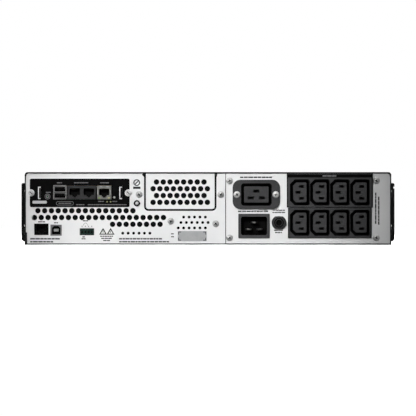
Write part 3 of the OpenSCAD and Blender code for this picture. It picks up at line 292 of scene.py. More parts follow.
class Look:
    """A node material. Its patterns lie in the object's own space, and sizes are in millimetres."""

    def __init__(self, name, roughness=0.5, metallic=0.0, **sockets):
        self.material = bpy.data.materials.new(name)
        self.material.use_nodes = True
        self.tree = self.material.node_tree
        self.shader = self.tree.nodes["Principled BSDF"]
        self.shader.inputs["Metallic"].default_value = metallic
        self.shader.inputs["Roughness"].default_value = roughness
        for socket, value in sockets.items():
            self.shader.inputs[socket.replace("_", " ")].default_value = value
        self.place = self.node("ShaderNodeTexCoord").outputs["Object"]

    def node(self, kind, inputs=(), **settings):
        made = self.tree.nodes.new(kind)
        for key, value in settings.items():
            setattr(made, key, value)
        for socket, value in dict(inputs).items():
            if isinstance(value, bpy.types.NodeSocket):
                self.tree.links.new(value, made.inputs[socket])
            else:
                made.inputs[socket].default_value = value
        return made

    def stretched(self, stretch):
        return self.node("ShaderNodeMapping", {"Vector": self.place, "Scale": stretch}).outputs[0]

    def noise(self, size, detail=2.0, stretch=None):
        place = self.stretched(stretch) if stretch else self.place
        made = self.node("ShaderNodeTexNoise", {"Vector": place, "Scale": METRE / size, "Detail": detail})
        return made.outputs["Fac"]

    def cells(self, size, output="Distance"):
        made = self.node("ShaderNodeTexVoronoi", {"Vector": self.place, "Scale": METRE / size})
        return made.outputs[output]

    def waves(self, size, direction, wobble=0.0):
        made = self.node("ShaderNodeTexWave", {"Vector": self.place, "Scale": METRE / size / 3.18,
                                               "Distortion": wobble, "Detail": 1.0},
                         bands_direction=direction)
        return made.outputs["Fac"]

    def remap(self, value, low, high, start=0.3, end=0.7):
        made = self.node("ShaderNodeMapRange", {"Value": value, "From Min": start, "From Max": end,
                                                "To Min": low, "To Max": high})
        return made.outputs["Result"]

    def math(self, kind, a, b):
        return self.node("ShaderNodeMath", {0: a, 1: b}, operation=kind).outputs[0]

    def mix(self, factor, a, b):
        made = self.node("ShaderNodeMix", data_type="RGBA")
        for socket, value in zip((made.inputs["Factor"], made.inputs[6], made.inputs[7]), (factor, a, b)):
            if isinstance(value, bpy.types.NodeSocket):
                self.tree.links.new(value, socket)
            else:
                socket.default_value = value
        return made.outputs[2]

    def drive(self, socket, source):
        self.tree.links.new(source, self.shader.inputs[socket])

    def tint(self, pattern, a, b, *ends):
        """Colours the surface from a to b by a pattern."""
        self.drive("Base Color", self.mix(self.remap(pattern, 0, 1, *ends), a, b))

    def bump(self, height, depth, under=None):
        """Raises the surface by depth at the height texture's full value."""
        inputs = {"Height": height, "Distance": depth / METRE, "Strength": 1.0}
        if under is not None:
            inputs["Normal"] = under
        normal = self.node("ShaderNodeBump", inputs).outputs["Normal"]
        self.drive("Normal", normal)
        return normal


def rgb(r, g=None, b=None):
    return (r, r if g is None else g, r if b is None else b, 1.0)


def edge_wear(look, width):
    """1 along the outside edges and 0 on the flats."""
    softened = look.node("ShaderNodeBevel", {"Radius": width / METRE}, samples=4).outputs["Normal"]
    flat = look.node("ShaderNodeNewGeometry").outputs["Normal"]
    agree = look.node("ShaderNodeVectorMath", {0: softened, 1: flat}, operation="DOT_PRODUCT")
    return look.remap(agree.outputs["Value"], 1.0, 0.0, 0.82, 0.985)


def sheet_metal():
    """Bright zinc-plated sheet: fine rolled grain and faint cloudy patches."""
    look = Look("bright_zinc_sheet", metallic=0.45)
    cloud = look.noise(46, 3)
    grain = look.noise(1.1, 2, (0.06, 1, 1))
    look.tint(cloud, rgb(0.80, 0.805, 0.81), rgb(0.87, 0.87, 0.865))
    look.drive("Roughness", look.math("ADD", look.remap(cloud, 0.42, 0.5), look.remap(grain, -0.03, 0.03)))
    fine = look.bump(grain, 0.004)
    look.bump(look.noise(0.35, 1), 0.002, fine)
    return look.material


def galvanised():
    """Galvanised inner steel with its spangle."""
    look = Look("galvanised_steel", metallic=0.85)
    spangle = look.cells(7, "Color")
    tone = look.node("ShaderNodeRGBToBW", {0: spangle}).outputs[0]
    look.tint(tone, rgb(0.56, 0.57, 0.58), rgb(0.68, 0.69, 0.7), 0.2, 0.8)
    look.drive("Roughness", look.remap(tone, 0.3, 0.46, 0.2, 0.8))
    look.bump(look.noise(0.8, 2), 0.004)
    return look.material


def powder_coat():
    """Black textured powder coat, rubbed a little lighter along its edges."""
    look = Look("black_powder_coat", Specular_IOR_Level=0.22)
    dust = look.noise(60, 3)
    base = look.mix(look.remap(dust, 0, 1), rgb(0.005, 0.005, 0.0055), rgb(0.009, 0.009, 0.0095))
    worn = look.math("MULTIPLY", edge_wear(look, 0.5), look.remap(look.noise(3, 3), 0.1, 1.0, 0.35, 0.6))
    look.drive("Base Color", look.mix(worn, base, rgb(0.05, 0.05, 0.053)))
    look.drive("Roughness", look.remap(look.noise(14, 2), 0.42, 0.56))
    peel = look.bump(look.noise(1.1, 2), 0.03)
    look.bump(look.noise(0.4, 1), 0.008, peel)
    return look.material


def moulded(name, colour, roughness=0.45, grain=0.5, depth=0.012, spread=0.25, **sockets):
    """Moulded plastic with a spark-eroded grain and a slightly uneven gloss."""
    sockets.setdefault("Specular_IOR_Level", 0.25)
    look = Look(name, **sockets)
    light = tuple(min(1, c * (1 + spread)) for c in colour[:3]) + (1.0,)
    mottle = look.math("ADD", look.remap(look.noise(22, 2), 0, 0.5), look.remap(look.noise(2.2, 3), 0, 0.5))
    look.drive("Base Color", look.mix(mottle, colour, light))
    look.drive("Roughness", look.remap(look.noise(7, 2), roughness - 0.05, roughness + 0.07))
    look.bump(look.noise(grain, 1), depth)
    return look.material


def plated(name, colour, tint, roughness=0.28, metallic=1.0):
    """Plated metal: a soft tint across it and fine turning marks."""
    look = Look(name, metallic=metallic)
    look.tint(look.noise(4, 2), colour, tint)
    look.drive("Roughness", look.remap(look.noise(1.5, 3), roughness - 0.06, roughness + 0.1))
    look.bump(look.noise(0.25, 2), 0.004)
    return look.material


def laminations():
    """A transformer core's stacked, varnished sheets."""
    look = Look("core_laminations", metallic=0.6)
    sheets = look.waves(1.0, "Z", 0.4)
    rust = look.noise(9, 4)
    dark = look.mix(look.remap(rust, 0, 1, 0.5, 0.75), rgb(0.11, 0.10, 0.095), rgb(0.16, 0.11, 0.08))
    look.drive("Base Color", look.mix(look.remap(sheets, 0, 0.4), dark, rgb(0.2, 0.19, 0.18)))
    look.drive("Roughness", look.remap(rust, 0.4, 0.62))
    look.bump(sheets, 0.08)
    return look.material


def winding_wrap():
    """Amber tape over a winding, with its turns showing through."""
    look = Look("coil_tape", Coat_Weight=0.3)
    turns = look.waves(2.2, "Z", 0.6)
    look.tint(turns, rgb(0.32, 0.14, 0.035), rgb(0.5, 0.26, 0.07))
    look.drive("Roughness", look.remap(look.noise(6, 2), 0.28, 0.42))
    look.bump(turns, 0.25)
    return look.material


def circuit_board():
    """Green solder mask over copper tracks, with tinned pads."""
    look = Look("circuit_board", Coat_Weight=0.4)
    blocks = look.node("ShaderNodeTexVoronoi", {"Vector": look.place, "Scale": METRE / 3.4},
                       distance="CHEBYCHEV", feature="DISTANCE_TO_EDGE").outputs["Distance"]
    track = look.remap(blocks, 1, 0, 0.05, 0.09)
    board = look.mix(track, rgb(0.008, 0.075, 0.03), rgb(0.02, 0.16, 0.055))
    pads = look.remap(look.cells(2.6), 1, 0, 0.11, 0.14)
    look.drive("Base Color", look.mix(pads, board, rgb(0.6, 0.58, 0.52)))
    look.drive("Metallic", pads)
    look.drive("Roughness", look.remap(look.noise(5, 2), 0.26, 0.38))
    look.bump(track, 0.03)
    return look.material


def aluminium():
    """Extruded aluminium with die lines along its length."""
    look = Look("extruded_aluminium", metallic=1.0)
    lines = look.noise(0.7, 2, (1, 0.02, 1))
    look.tint(lines, rgb(0.62, 0.63, 0.64), rgb(0.76, 0.77, 0.78))
    look.drive("Roughness", look.remap(lines, 0.28, 0.42))
    look.bump(lines, 0.01)
    return look.material


def smoked_glass():
    """The display's clear window."""
    look = Look("display_glass", Transmission_Weight=1.0, IOR=1.5)
    look.tint(look.noise(30, 2), rgb(0.82, 0.86, 0.9), rgb(0.86, 0.9, 0.93))
    look.drive("Roughness", look.remap(look.noise(12, 3), 0.02, 0.06))
    return look.material


def ink(name, colour, roughness=0.6):
    """Silk-screened print."""
    look = Look(name)
    thin = look.remap(look.noise(0.9, 3), 0, 0.25, 0.5, 0.75)
    look.drive("Base Color", look.mix(thin, colour, tuple(0.8 * c + 0.05 for c in colour[:3]) + (1.0,)))
    look.drive("Roughness", look.remap(look.noise(3, 2), roughness - 0.05, roughness + 0.05))
    return look.material


def lamp(name, colour, strength):
    """A tinted light lens, lit from behind, a little uneven across it."""
    look = Look(name, roughness=0.25, Coat_Weight=0.5, Emission_Strength=strength)
    dim = tuple(0.75 * c for c in colour[:3]) + (1.0,)
    uneven = look.mix(look.remap(look.noise(1.2, 2), 0, 1), colour, dim)
    look.drive("Base Color", uneven)
    look.drive("Emission Color", uneven)
    return look.material


SHEET = sheet_metal()
INNER = galvanised()
COAT = powder_coat()
BOARD = circuit_board()
OUTLET = moulded("outlet_plastic_grey", rgb(0.037, 0.0375, 0.039), 0.5, spread=0.5)
# near-black for the banks' rims and strip, and painted shade lining the grooves, slots, inlet, and the
# sheet behind the vents
BLACK_RIM_AND_RECESS_SHADE = moulded("black_rim_and_recess_shade", rgb(0.0016), 0.6, Specular_IOR_Level=0.06)
INLET = moulded("inlet_plastic_black", rgb(0.058, 0.058, 0.060), 0.5)
BLACK = moulded("black_plastic", rgb(0.002), 0.55, Specular_IOR_Level=0.06)
BREAKER = moulded("breaker_plastic_dark", rgb(0.035, 0.035, 0.036), 0.5)
JACK = moulded("jack_plastic_dark", rgb(0.026, 0.027, 0.027), 0.5)
WHITE = moulded("white_plastic", rgb(0.72, 0.72, 0.7), 0.42, spread=0.06)
GREEN = moulded("terminal_block_green", rgb(0.003, 0.016, 0.011), 0.5)
GREEN_BRIGHT = moulded("terminal_plug_green", rgb(0.004, 0.03, 0.02), 0.5)
FAN = moulded("fan_plastic_black", rgb(0.004), 0.5, Specular_IOR_Level=0.12)
CONNECTOR = moulded("connector_housing_grey", rgb(0.2, 0.205, 0.215), 0.45)
BATTERY = moulded("battery_case_abs", rgb(0.03, 0.031, 0.033), 0.5, grain=0.8, depth=0.03)
BATTERY_LID = moulded("battery_lid_abs", rgb(0.085, 0.087, 0.09), 0.5, grain=0.8, depth=0.03)
SLEEVE = moulded("capacitor_sleeve_blue", rgb(0.012, 0.022, 0.075), 0.25, depth=0.004)
HANDLE = moulded("handle_plastic_black", rgb(0.014, 0.014, 0.015), 0.46, grain=0.7, depth=0.025)
# near-black for the line along the panels' foot, and painted shade in the panel seam
FOOT_LINE_AND_SEAM_SHADE = moulded("foot_line_and_seam_shade", rgb(0.02), 0.6, spread=0.3, Specular_IOR_Level=0.1)
FASCIA = moulded("fascia_plastic_black", rgb(0.012, 0.012, 0.0135), 0.44, grain=0.9, depth=0.03)
FOAM = moulded("filter_foam", rgb(0.012), 0.9, grain=1.6, depth=0.5, Specular_IOR_Level=0.05)
KEY = moulded("key_rubber_grey", rgb(0.075, 0.077, 0.082), 0.6)
OVERLAY = moulded("card_overlay_film", rgb(0.0022), 0.62, grain=0.3, depth=0.004, Specular_IOR_Level=0.06)
STEEL = plated("zinc_plated_screw", rgb(0.50, 0.5, 0.49), rgb(0.62, 0.62, 0.63), 0.42, 0.75)
BRIGHT = plated("nickel_plated_screw", rgb(0.80, 0.80, 0.80), rgb(0.88, 0.88, 0.86), 0.42, 0.45)
DARK_STEEL = plated("black_oxide_screw", rgb(0.03), rgb(0.045), 0.4)
STUD = plated("darkened_stud", rgb(0.16, 0.155, 0.15), rgb(0.24, 0.235, 0.23), 0.34)
# nickel darkened far below its own tone: painted shade on the pins deep in the inlet
PIN = plated("nickel_pin_in_painted_shade", rgb(0.11, 0.11, 0.108), rgb(0.15, 0.15, 0.147), 0.42)
SHELL = plated("tinned_shell", rgb(0.26, 0.26, 0.258), rgb(0.34, 0.34, 0.335), 0.42, 0.8)
# brass darkened almost to black: painted shade on the contacts inside the ports
BRASS = plated("brass_contact_in_painted_shade", rgb(0.016, 0.012, 0.007), rgb(0.03, 0.023, 0.012), 0.55, 0.8)
# near-black outlet contacts: painted shade deep in the slots
CONTACT = plated("spring_contact_in_painted_shade", rgb(0.006, 0.0055, 0.004), rgb(0.012, 0.010, 0.007), 0.7, 0.3)
JACK_METAL = plated("jack_shield", rgb(0.13, 0.13, 0.12), rgb(0.19, 0.19, 0.175), 0.45, 0.7)
USB_GREY = moulded("usb_shell_grey", rgb(0.16, 0.16, 0.162), 0.45, spread=0.2)
TIN = plated("tinned_leg", rgb(0.55, 0.55, 0.54), rgb(0.66, 0.66, 0.65), 0.34)
COPPER = plated("copper_link", rgb(0.62, 0.3, 0.16), rgb(0.72, 0.4, 0.24), 0.34)
PLATE = plated("label_foil", rgb(0.43, 0.44, 0.445), rgb(0.48, 0.485, 0.49), 0.5, 0.2)
CORE = laminations()
COIL = winding_wrap()
ALLOY = aluminium()
GLASS = smoked_glass()
INK_DARK = ink("dark_print", rgb(0.02, 0.02, 0.022))
INK_LIGHT = ink("light_print", rgb(0.72, 0.73, 0.74))
INK_DIM = ink("dim_print", rgb(0.17, 0.17, 0.175))
LCD = ink("display_face", rgb(0.10, 0.24, 0.34), 0.3)
LCD_MARK = ink("display_marks", rgb(0.01, 0.03, 0.05), 0.4)
WIRE_RED = moulded("wire_red", rgb(0.42, 0.015, 0.012), 0.4, depth=0.004)
WIRE_BLACK = moulded("wire_black", rgb(0.014), 0.4, depth=0.004)
LAMP_GREEN = lamp("lamp_green", rgb(0.2, 0.32, 0.08), 0.12)
LAMP_AMBER = lamp("lamp_amber", rgb(0.42, 0.42, 0.2), 0.15)

# the finish of each CAD node and the rounding of its edges, where 0 leaves them sharp
FINISH = {
    "base_pan": (INNER, 0), "top_cover": (COAT, 0.2), "rear_panel": (SHEET, 0),
    "vent_plate": (SHEET, 0), "power_panel": (SHEET, 0), "rear_panel_screws": (STEEL, 0.1),
    "power_panel_screws": (STEEL, 0.1), "c19_outlet": (OUTLET, 0.25), "c19_outlet_screws": (BRIGHT, 0.1),
    "c20_inlet": (INLET, 0.25), "c20_inlet_pins": (PIN, 0.3), "breaker_body": (BLACK, 0.2),
    "breaker_nut": (BREAKER, 0.4), "breaker_button": (BLACK, 0.3), "upper_outlet_bank": (OUTLET, 0.2),
    "lower_outlet_bank": (OUTLET, 0.2), "outlet_contacts": (CONTACT, 0), "serial_port": (BLACK, 0.2),
    "usb_port": (USB_GREY, 0.2), "epo_header": (GREEN, 0.1), "epo_plug": (GREEN_BRIGHT, 0.1),
    "ground_stud": (STUD, 0.1), "rating_plate": (PLATE, 0.06), "card_guides": (INNER, 0.1),
    "card_faceplate": (SHEET, 0), "card_overlay": (OVERLAY, 0.05), "card_board": (BOARD, 0.05),
    "card_usb_ports": (JACK, 0.12), "card_io_ports": (JACK, 0.15), "card_network_port": (JACK_METAL, 0.12),
    "card_thumbscrews": (STEEL, 0.1), "card_reset_button": (WHITE, 0.15), "fan_shroud": (FAN, 0.2),
    "fan_frame": (FAN, 0.3), "fan_rotor": (FAN, 0.2), "transformer_core": (CORE, 0.3),
    "transformer_coil": (COIL, 1.5), "power_board": (BOARD, 0.1), "heatsinks": (ALLOY, 0.1),
    "capacitors": (SLEEVE, 0.3), "control_board": (BOARD, 0.05), "battery_bay": (INNER, 0.1),
    "battery_socket": (CONNECTOR, 0.4), "battery_tray": (INNER, 0.15), "battery_blocks": (BATTERY, 0.8),
    "battery_links": (COPPER, 0.15), "battery_plug": (CONNECTOR, 0.4), "battery_handle": (HANDLE, 0.8),
    "battery_thumbscrews": (STEEL, 0.2), "front_fascia": (FASCIA, 0.4), "left_ear": (COAT, 0.2),
    "right_ear": (COAT, 0.2), "chassis_screws": (DARK_STEEL, 0.1), "display_housing": (FASCIA, 0.4),
    "display_window": (GLASS, 0.1), "display_board": (BOARD, 0.1), "power_button": (KEY, 0.5),
    "up_button": (KEY, 0.4), "down_button": (KEY, 0.4), "enter_button": (KEY, 0.4),
}


def dress(node, look, bevel):
    """Gives a CAD node its finish, and rounds its edges."""
    obj = frame["nodes"][node]
    for slot in obj.material_slots:
        slot.material = look
    if bevel:
        weld = obj.modifiers.new("weld", "WELD")
        weld.merge_threshold = 1e-5
        flat = obj.modifiers.new("flats", "DECIMATE")
        flat.decimate_type = "DISSOLVE"
        flat.angle_limit = math.radians(1)
        soften(obj, bevel)


# ---------------------------------------------------------------- stage

def area_light(name, at, target, size, power, spread=180, colour=(1, 1, 1)):
    """A soft rectangular light, in metres, that the camera doesn't see. Its beam is spread degrees wide."""
    light = bpy.data.lights.new(name, "AREA")
    light.shape = "RECTANGLE"
    light.size, light.size_y = size
    light.energy = power
    light.color = colour
    light.spread = math.radians(spread)
    lamp_object = bpy.data.objects.new(name, light)
    lamp_object.location = at
    lamp_object.rotation_euler = (Vector(target) - Vector(at)).to_track_quat("-Z", "Y").to_euler()
    lamp_object.visible_camera = False
    bpy.context.scene.collection.objects.link(lamp_object)


def build_stage():
    """Floor, white surroundings and soft lights, in metres."""
    reach = 6.0
    floor_mesh = bmesh.new()
    bmesh.ops.create_grid(floor_mesh, x_segments=2, y_segments=2, size=reach)
    mesh = bpy.data.meshes.new("floor")
    floor_mesh.to_mesh(mesh)
    floor_mesh.free()
    floor = bpy.data.objects.new("floor", mesh)
    bpy.context.scene.collection.objects.link(floor)
    floor.visible_diffuse = False
    floor.visible_glossy = False
    paper = Look("pale_floor", roughness=0.9, Emission_Color=rgb(1), Emission_Strength=0.86)
    paper.tint(paper.noise(400, 2), rgb(0.93), rgb(0.95))
    mesh.materials.append(paper.material)

    world = bpy.data.worlds.new("surroundings")
    bpy.context.scene.world = world
    world.use_nodes = True
    tree = world.node_tree
    background = tree.nodes["Background"]
    seen = tree.nodes.new("ShaderNodeLightPath")
    level = tree.nodes.new("ShaderNodeMapRange")
    ambient, backdrop = 0.13, 1.0
    level.inputs["To Min"].default_value = ambient
    level.inputs["To Max"].default_value = backdrop
    tree.links.new(seen.outputs["Is Camera Ray"], level.inputs["Value"])
    tree.links.new(level.outputs["Result"], background.inputs["Strength"])
    background.inputs["Color"].default_value = (1, 1, 1, 1)

    area_light("overhead", (0, 0.2, 2.2), (0, 0.2, 0), (2.6, 2.6), 60)
    area_light("rear_key", (-0.28, -1.55, 0.42), (-0.02, -0.33, 0.05), (0.40, 0.3), 0.21, 9.5)
    area_light("front_fill", (0.6, 1.9, 0.9), (0, 0.33, 0.05), (1.0, 0.8), 16)


def build_camera():
    """A long lens behind the rear panel, level with the middle of the object."""
    rear_y, mid_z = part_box("rear_panel")[0].y, span("top_cover").mid.z / METRE
    distance, rise, focal_length = 6.714, 0.0006, 493
    camera = bpy.data.cameras.new("camera")
    camera.sensor_width = 36
    camera.lens = focal_length
    camera.clip_end = 40
    view = bpy.data.objects.new("camera", camera)
    view.location = (0, rear_y - distance, mid_z + rise)
    view.rotation_euler = (math.pi / 2, 0, 0)
    bpy.context.scene.collection.objects.link(view)
    bpy.context.scene.camera = view
    bpy.context.scene.view_settings.view_transform = "Standard"


# ---------------------------------------------------------------- fasteners

def cross(arm, half):
    """The outline of a cross recess, with arms half wide each way."""
    quarter = [(arm, -half), (arm, half), (half, half)]
    return [point for k in range(4) for point in rotated(quarter, k * math.pi / 2)]


def screw_head(radius, height):
    """A pan head with a cross recess, standing on its own XY plane."""
    head = Shape()
    crown = [(radius, 0.0), (radius, height * 0.35), (radius * 0.93, height * 0.6),
             (radius * 0.76, height * 0.84), (radius * 0.5, height * 0.96), (radius * 0.001, height)]
    head.lathe(crown, (0, 0, 0), "+Z", 40)
    cut = Shape()
    recess = cross(radius * 0.6, radius * 0.15)
    base = [Vector((px * 0.45, py * 0.45, height * 0.12)) for px, py in recess]
    top = [Vector((px, py, height + 0.3)) for px, py in recess]
    cut.loops([base, top])
    carve(head, cut)
    return head


def screw_recess_shadow_cross(radius, height):
    """Painted shade: a black cross sunk in a cross recess, standing in for the shadow at its bottom."""
    pit = Shape()
    pit.prism(cross(radius * 0.56, radius * 0.145), height * 0.3, height * 0.8, "+Z")
    return pit


def carve(shape, cutter):
    """Cuts one shape out of another."""
    made = []
    for source in (shape, cutter):
        bmesh.ops.remove_doubles(source.mesh, verts=source.mesh.verts, dist=1e-5)
        bmesh.ops.recalc_face_normals(source.mesh, faces=source.mesh.faces)
        mesh = bpy.data.meshes.new("carving")
        source.mesh.to_mesh(mesh)
        obj = bpy.data.objects.new("carving", mesh)
        bpy.context.scene.collection.objects.link(obj)
        made.append(obj)
    cut = made[0].modifiers.new("cut", "BOOLEAN")
    cut.object, cut.operation, cut.solver = made[1], "DIFFERENCE", "EXACT"
    bpy.context.view_layer.update()
    result = made[0].evaluated_get(bpy.context.evaluated_depsgraph_get()).to_mesh()
    shape.mesh.clear()
    shape.mesh.from_mesh(result)
    for obj in made:
        bpy.data.objects.remove(obj)


def placed(at, axis, turn=0.0):
    """The matrix that stands a shape's +Z along an axis at a point."""
    u, v, w = AXES[axis]
    if u.dot(v.cross(w)) < 0:
        u = -u
    basis = Matrix((u, v, w)).transposed().to_4x4()
    return Matrix.Translation(at) @ basis @ Matrix.Rotation(turn, 4, "Z")


def build_screws():
    """Pan-head screws in the panels, the outlet flange and the sides."""
    height = 2.0
    sets = (("rear_panel_screws", STEEL, "screw_steel"), ("power_panel_screws", STEEL, "screw_steel"),
            ("c19_outlet_screws", BRIGHT, "bright_screw"))
    for node, look, slot in sets:
        shape, dark_crosses = Shape(), Shape()
        for i, one in enumerate(solids(node)):
            radius = one.size.x / 2
            seat = (one.mid.x, one.low.y + height, one.mid.z)
            stand = placed(seat, "-Y", 0.6 + 0.7 * i)
            shape.stamp(screw_head(radius, height), stand)
            dark_crosses.stamp(screw_recess_shadow_cross(radius, height), stand)
            shank = one.size.y - height
            shape.lathe([(radius * 0.48, 0), (radius * 0.48, shank - 0.4), (radius * 0.3, shank)],
                        seat, "+Y", 20)
        shape.piece(node + "_heads", look, body_of(node), slot, replaces=[node])
        # the black crosses in the recesses are painted shade
        dark_crosses.piece(node + "_painted_recess_shade", BLACK, body_of(node), "black_screw")
    shape = Shape()
    for i, one in enumerate(solids("chassis_screws")):
        right = one.mid.x > 0
        outer = one.high.x if right else one.low.x
        head_h = 2.0 if abs(outer) > span("top_cover").high.x + 3 else 1.8
        seat_x = outer - head_h if right else outer + head_h
        head = screw_head(one.size.z / 2, head_h)
        shape.stamp(head, placed((seat_x, one.mid.y, one.mid.z), "+X" if right else "-X", 0.5 * i))
        shape.lathe([(1.85, 0), (1.85, one.size.x - head_h)], (seat_x, one.mid.y, one.mid.z),
                    "-X" if right else "+X", 16)
    shape.piece("chassis_screw_heads", DARK_STEEL, "chassis", "black_screw", replaces=["chassis_screws"])


def knurled_knob(shape, floor, at, axis, radius, height, shank, shank_r):
    """A thumbscrew: a knurled rim, a dished face with a slot whose floor is painted shade in black, and its
    threaded shank.
    """
    teeth, turn, slot_half = 30, math.pi / 4, 0.44
    rim = []
    for k in range(teeth):
        for share, r in ((0.0, radius - 0.25), (0.3, radius), (0.6, radius)):
            a = 2 * math.pi * (k + share) / teeth
            rim.append((r * math.cos(a), r * math.sin(a)))
    inner = circle(radius * 0.78, len(rim), 0.0)
    shape.frame(rim, inner, 0, height - 0.3, axis, at)
    bow = ((0, -0.82), (0.5, -0.8), (0.85, -0.5), (1, 0), (0.85, 0.5), (0.5, 0.8), (0, 0.82))
    for side in (-1, 1):
        half = [(side * (0.45 + (radius * 0.8 - 0.45) * c), radius * 0.8 * n) for c, n in bow]
        shape.prism(rotated(half, turn), 0, height, axis, at)
    shape.prism(circle(radius * 0.79, 32), 0, height - 1.2, axis, at)
    reach = radius * 0.62
    slot = [(-slot_half, -reach), (slot_half, -reach), (slot_half, reach), (-slot_half, reach)]
    # the slot's black floor is painted shade
    floor.prism(rotated(slot, turn), height - 1.25, height - 0.9, axis, at)
    shape.lathe([(shank_r, 0), (shank_r, -shank + 0.4), (shank_r * 0.7, -shank)], at, axis, 20)


def build_thumbscrews():
    """The card's low thumbscrews at the rear, and the drawer's tall ones at the front."""
    shank_r = 1.9
    for node, axis, height in (("card_thumbscrews", "-Y", 3.4), ("battery_thumbscrews", "+Y", 8.0)):
        shape, floor = Shape(), Shape()
        for one in solids(node):
            seat_y = one.low.y + height if axis == "-Y" else one.high.y - height
            knurled_knob(shape, floor, (one.mid.x, seat_y, one.mid.z), axis, one.size.x / 2, height,
                         one.size.y - height, shank_r)
        shape.piece(node + "_knurled", STEEL, body_of(node), "screw_steel", replaces=[node])
        # black slot floors: painted shade
        floor.piece(node + "_slots", BLACK, body_of(node), "black_screw")


def build_ground_stud():
    """A threaded stud with a toothed washer and a square nut."""
    box = span("ground_stud")
    x, z = box.mid.x, box.mid.z
    shape = Shape()
    pitch, r = 0.7, 2.0
    thread = [(r * 0.7, 0)]
    turns = int(box.size.y / pitch) - 1
    for k in range(turns):
        thread += [(r, 0.35 + k * pitch), (r - 0.32, 0.35 + (k + 0.5) * pitch)]
    thread.append((r * 0.7, box.size.y))
    shape.lathe(thread, (x, box.high.y, z), "-Y", 24)
    plane = span("rear_panel").low.y
    shape.piece("ground_stud_thread", STEEL, "chassis", "stud_metal", replaces=["ground_stud"])
    nut = Shape()
    nut.frame(circle(3.7, 36), circle(2.05, 36), 0, 0.6, "-Y", (x, plane, z))
    for k in range(12):
        a = math.pi / 6 * k
        tooth = moved(circle(0.45, 3, a), 3.5 * math.cos(a), 3.5 * math.sin(a))
        nut.prism(tooth, 0.4, 0.9, "-Y", (x, plane, z))
    turned = rotated(rounded(6.0, 6.0, 0.6), math.pi / 4)
    bore = [(2.03 * p / math.hypot(p, q), 2.03 * q / math.hypot(p, q)) for p, q in turned]
    nut.frame(turned, bore, 0.7, 2.9, "-Y", (x, plane, z))
    nut.piece("ground_stud_nut", BLACK, "chassis", "stud_metal")


# ---------------------------------------------------------------- cover and panels

def build_cover_trim():
    """The painted lips along the cover's rear edge, a dark line along the panels' foot, and painted shade
    in the seam between the panels.
    """
    cover = span("top_cover")
    face = span("rear_panel").low.y
    shape = Shape()
    reach, bend, thick, thin = 5.6, 3.5, 2.1, 1.3
    back, front = face - 0.8, face - 0.42
    quarter = [math.pi / 2 * k / 8 for k in range(9)]
    for side in (-1, 1):
        edge = side * cover.high.x
        centre_x, centre_z = edge - side * bend, cover.high.z - bend

        def arc(r, angles):
            return [(centre_x + side * r * math.cos(a), centre_z + r * math.sin(a)) for a in angles]

        outline = [(edge, cover.high.z - reach)] + arc(bend, quarter)
        outline += [(edge - side * reach, cover.high.z), (edge - side * reach, cover.high.z - thin)]
        outline += arc(bend - thick, reversed(quarter)) + [(edge - side * thin, cover.high.z - reach)]
        shape.prism(outline, back, front, "+Y")
    shape.block((cover.low.x + reach, back, cover.high.z - 1.75),
                (cover.high.x - reach, front, cover.high.z - 1.15))
    shape.piece("cover_rear_lips", BLACK, "chassis", "black_cover", bevel=0.08)
    pan = span("base_pan")
    foot_and_seam_lines = Shape()
    foot_and_seam_lines.block((pan.low.x, face - 0.3, 1.0), (pan.high.x, face, 2.0))
    # painted shade: a dark line where the power panel meets the rear panel, standing in for the seam's
    # shadow
    seam = span("power_panel").low.x
    foot_and_seam_lines.block((seam - 0.75, face - 0.05, 2.0), (seam, face, pan.high.z + 12.5))
    foot_and_seam_lines.piece("panel_edge_lines", FOOT_LINE_AND_SEAM_SHADE, "chassis", "black_cover")


def build_vent_shade_sheets():
    """A thin black sheet behind the vents: painted shade, which hides what lies inside."""
    left, panel, plate = span("top_cover").low.x, span("rear_panel"), span("vent_plate")
    front = panel.low.y + 1.25
    back = front + 0.15
    shape = Shape()
    shape.block((left + 10, front, 26.4), (left + 234, back, 43.6))
    shape.block((left + 98, front, 10), (left + 234, back, 26.4))
    shape.block((plate.low.x + 3, front, 44.6), (plate.high.x - 3, back, plate.high.z - 2))
    shape.piece("vent_shade_sheets", BLACK_RIM_AND_RECESS_SHADE, "chassis", "fan_plastic")


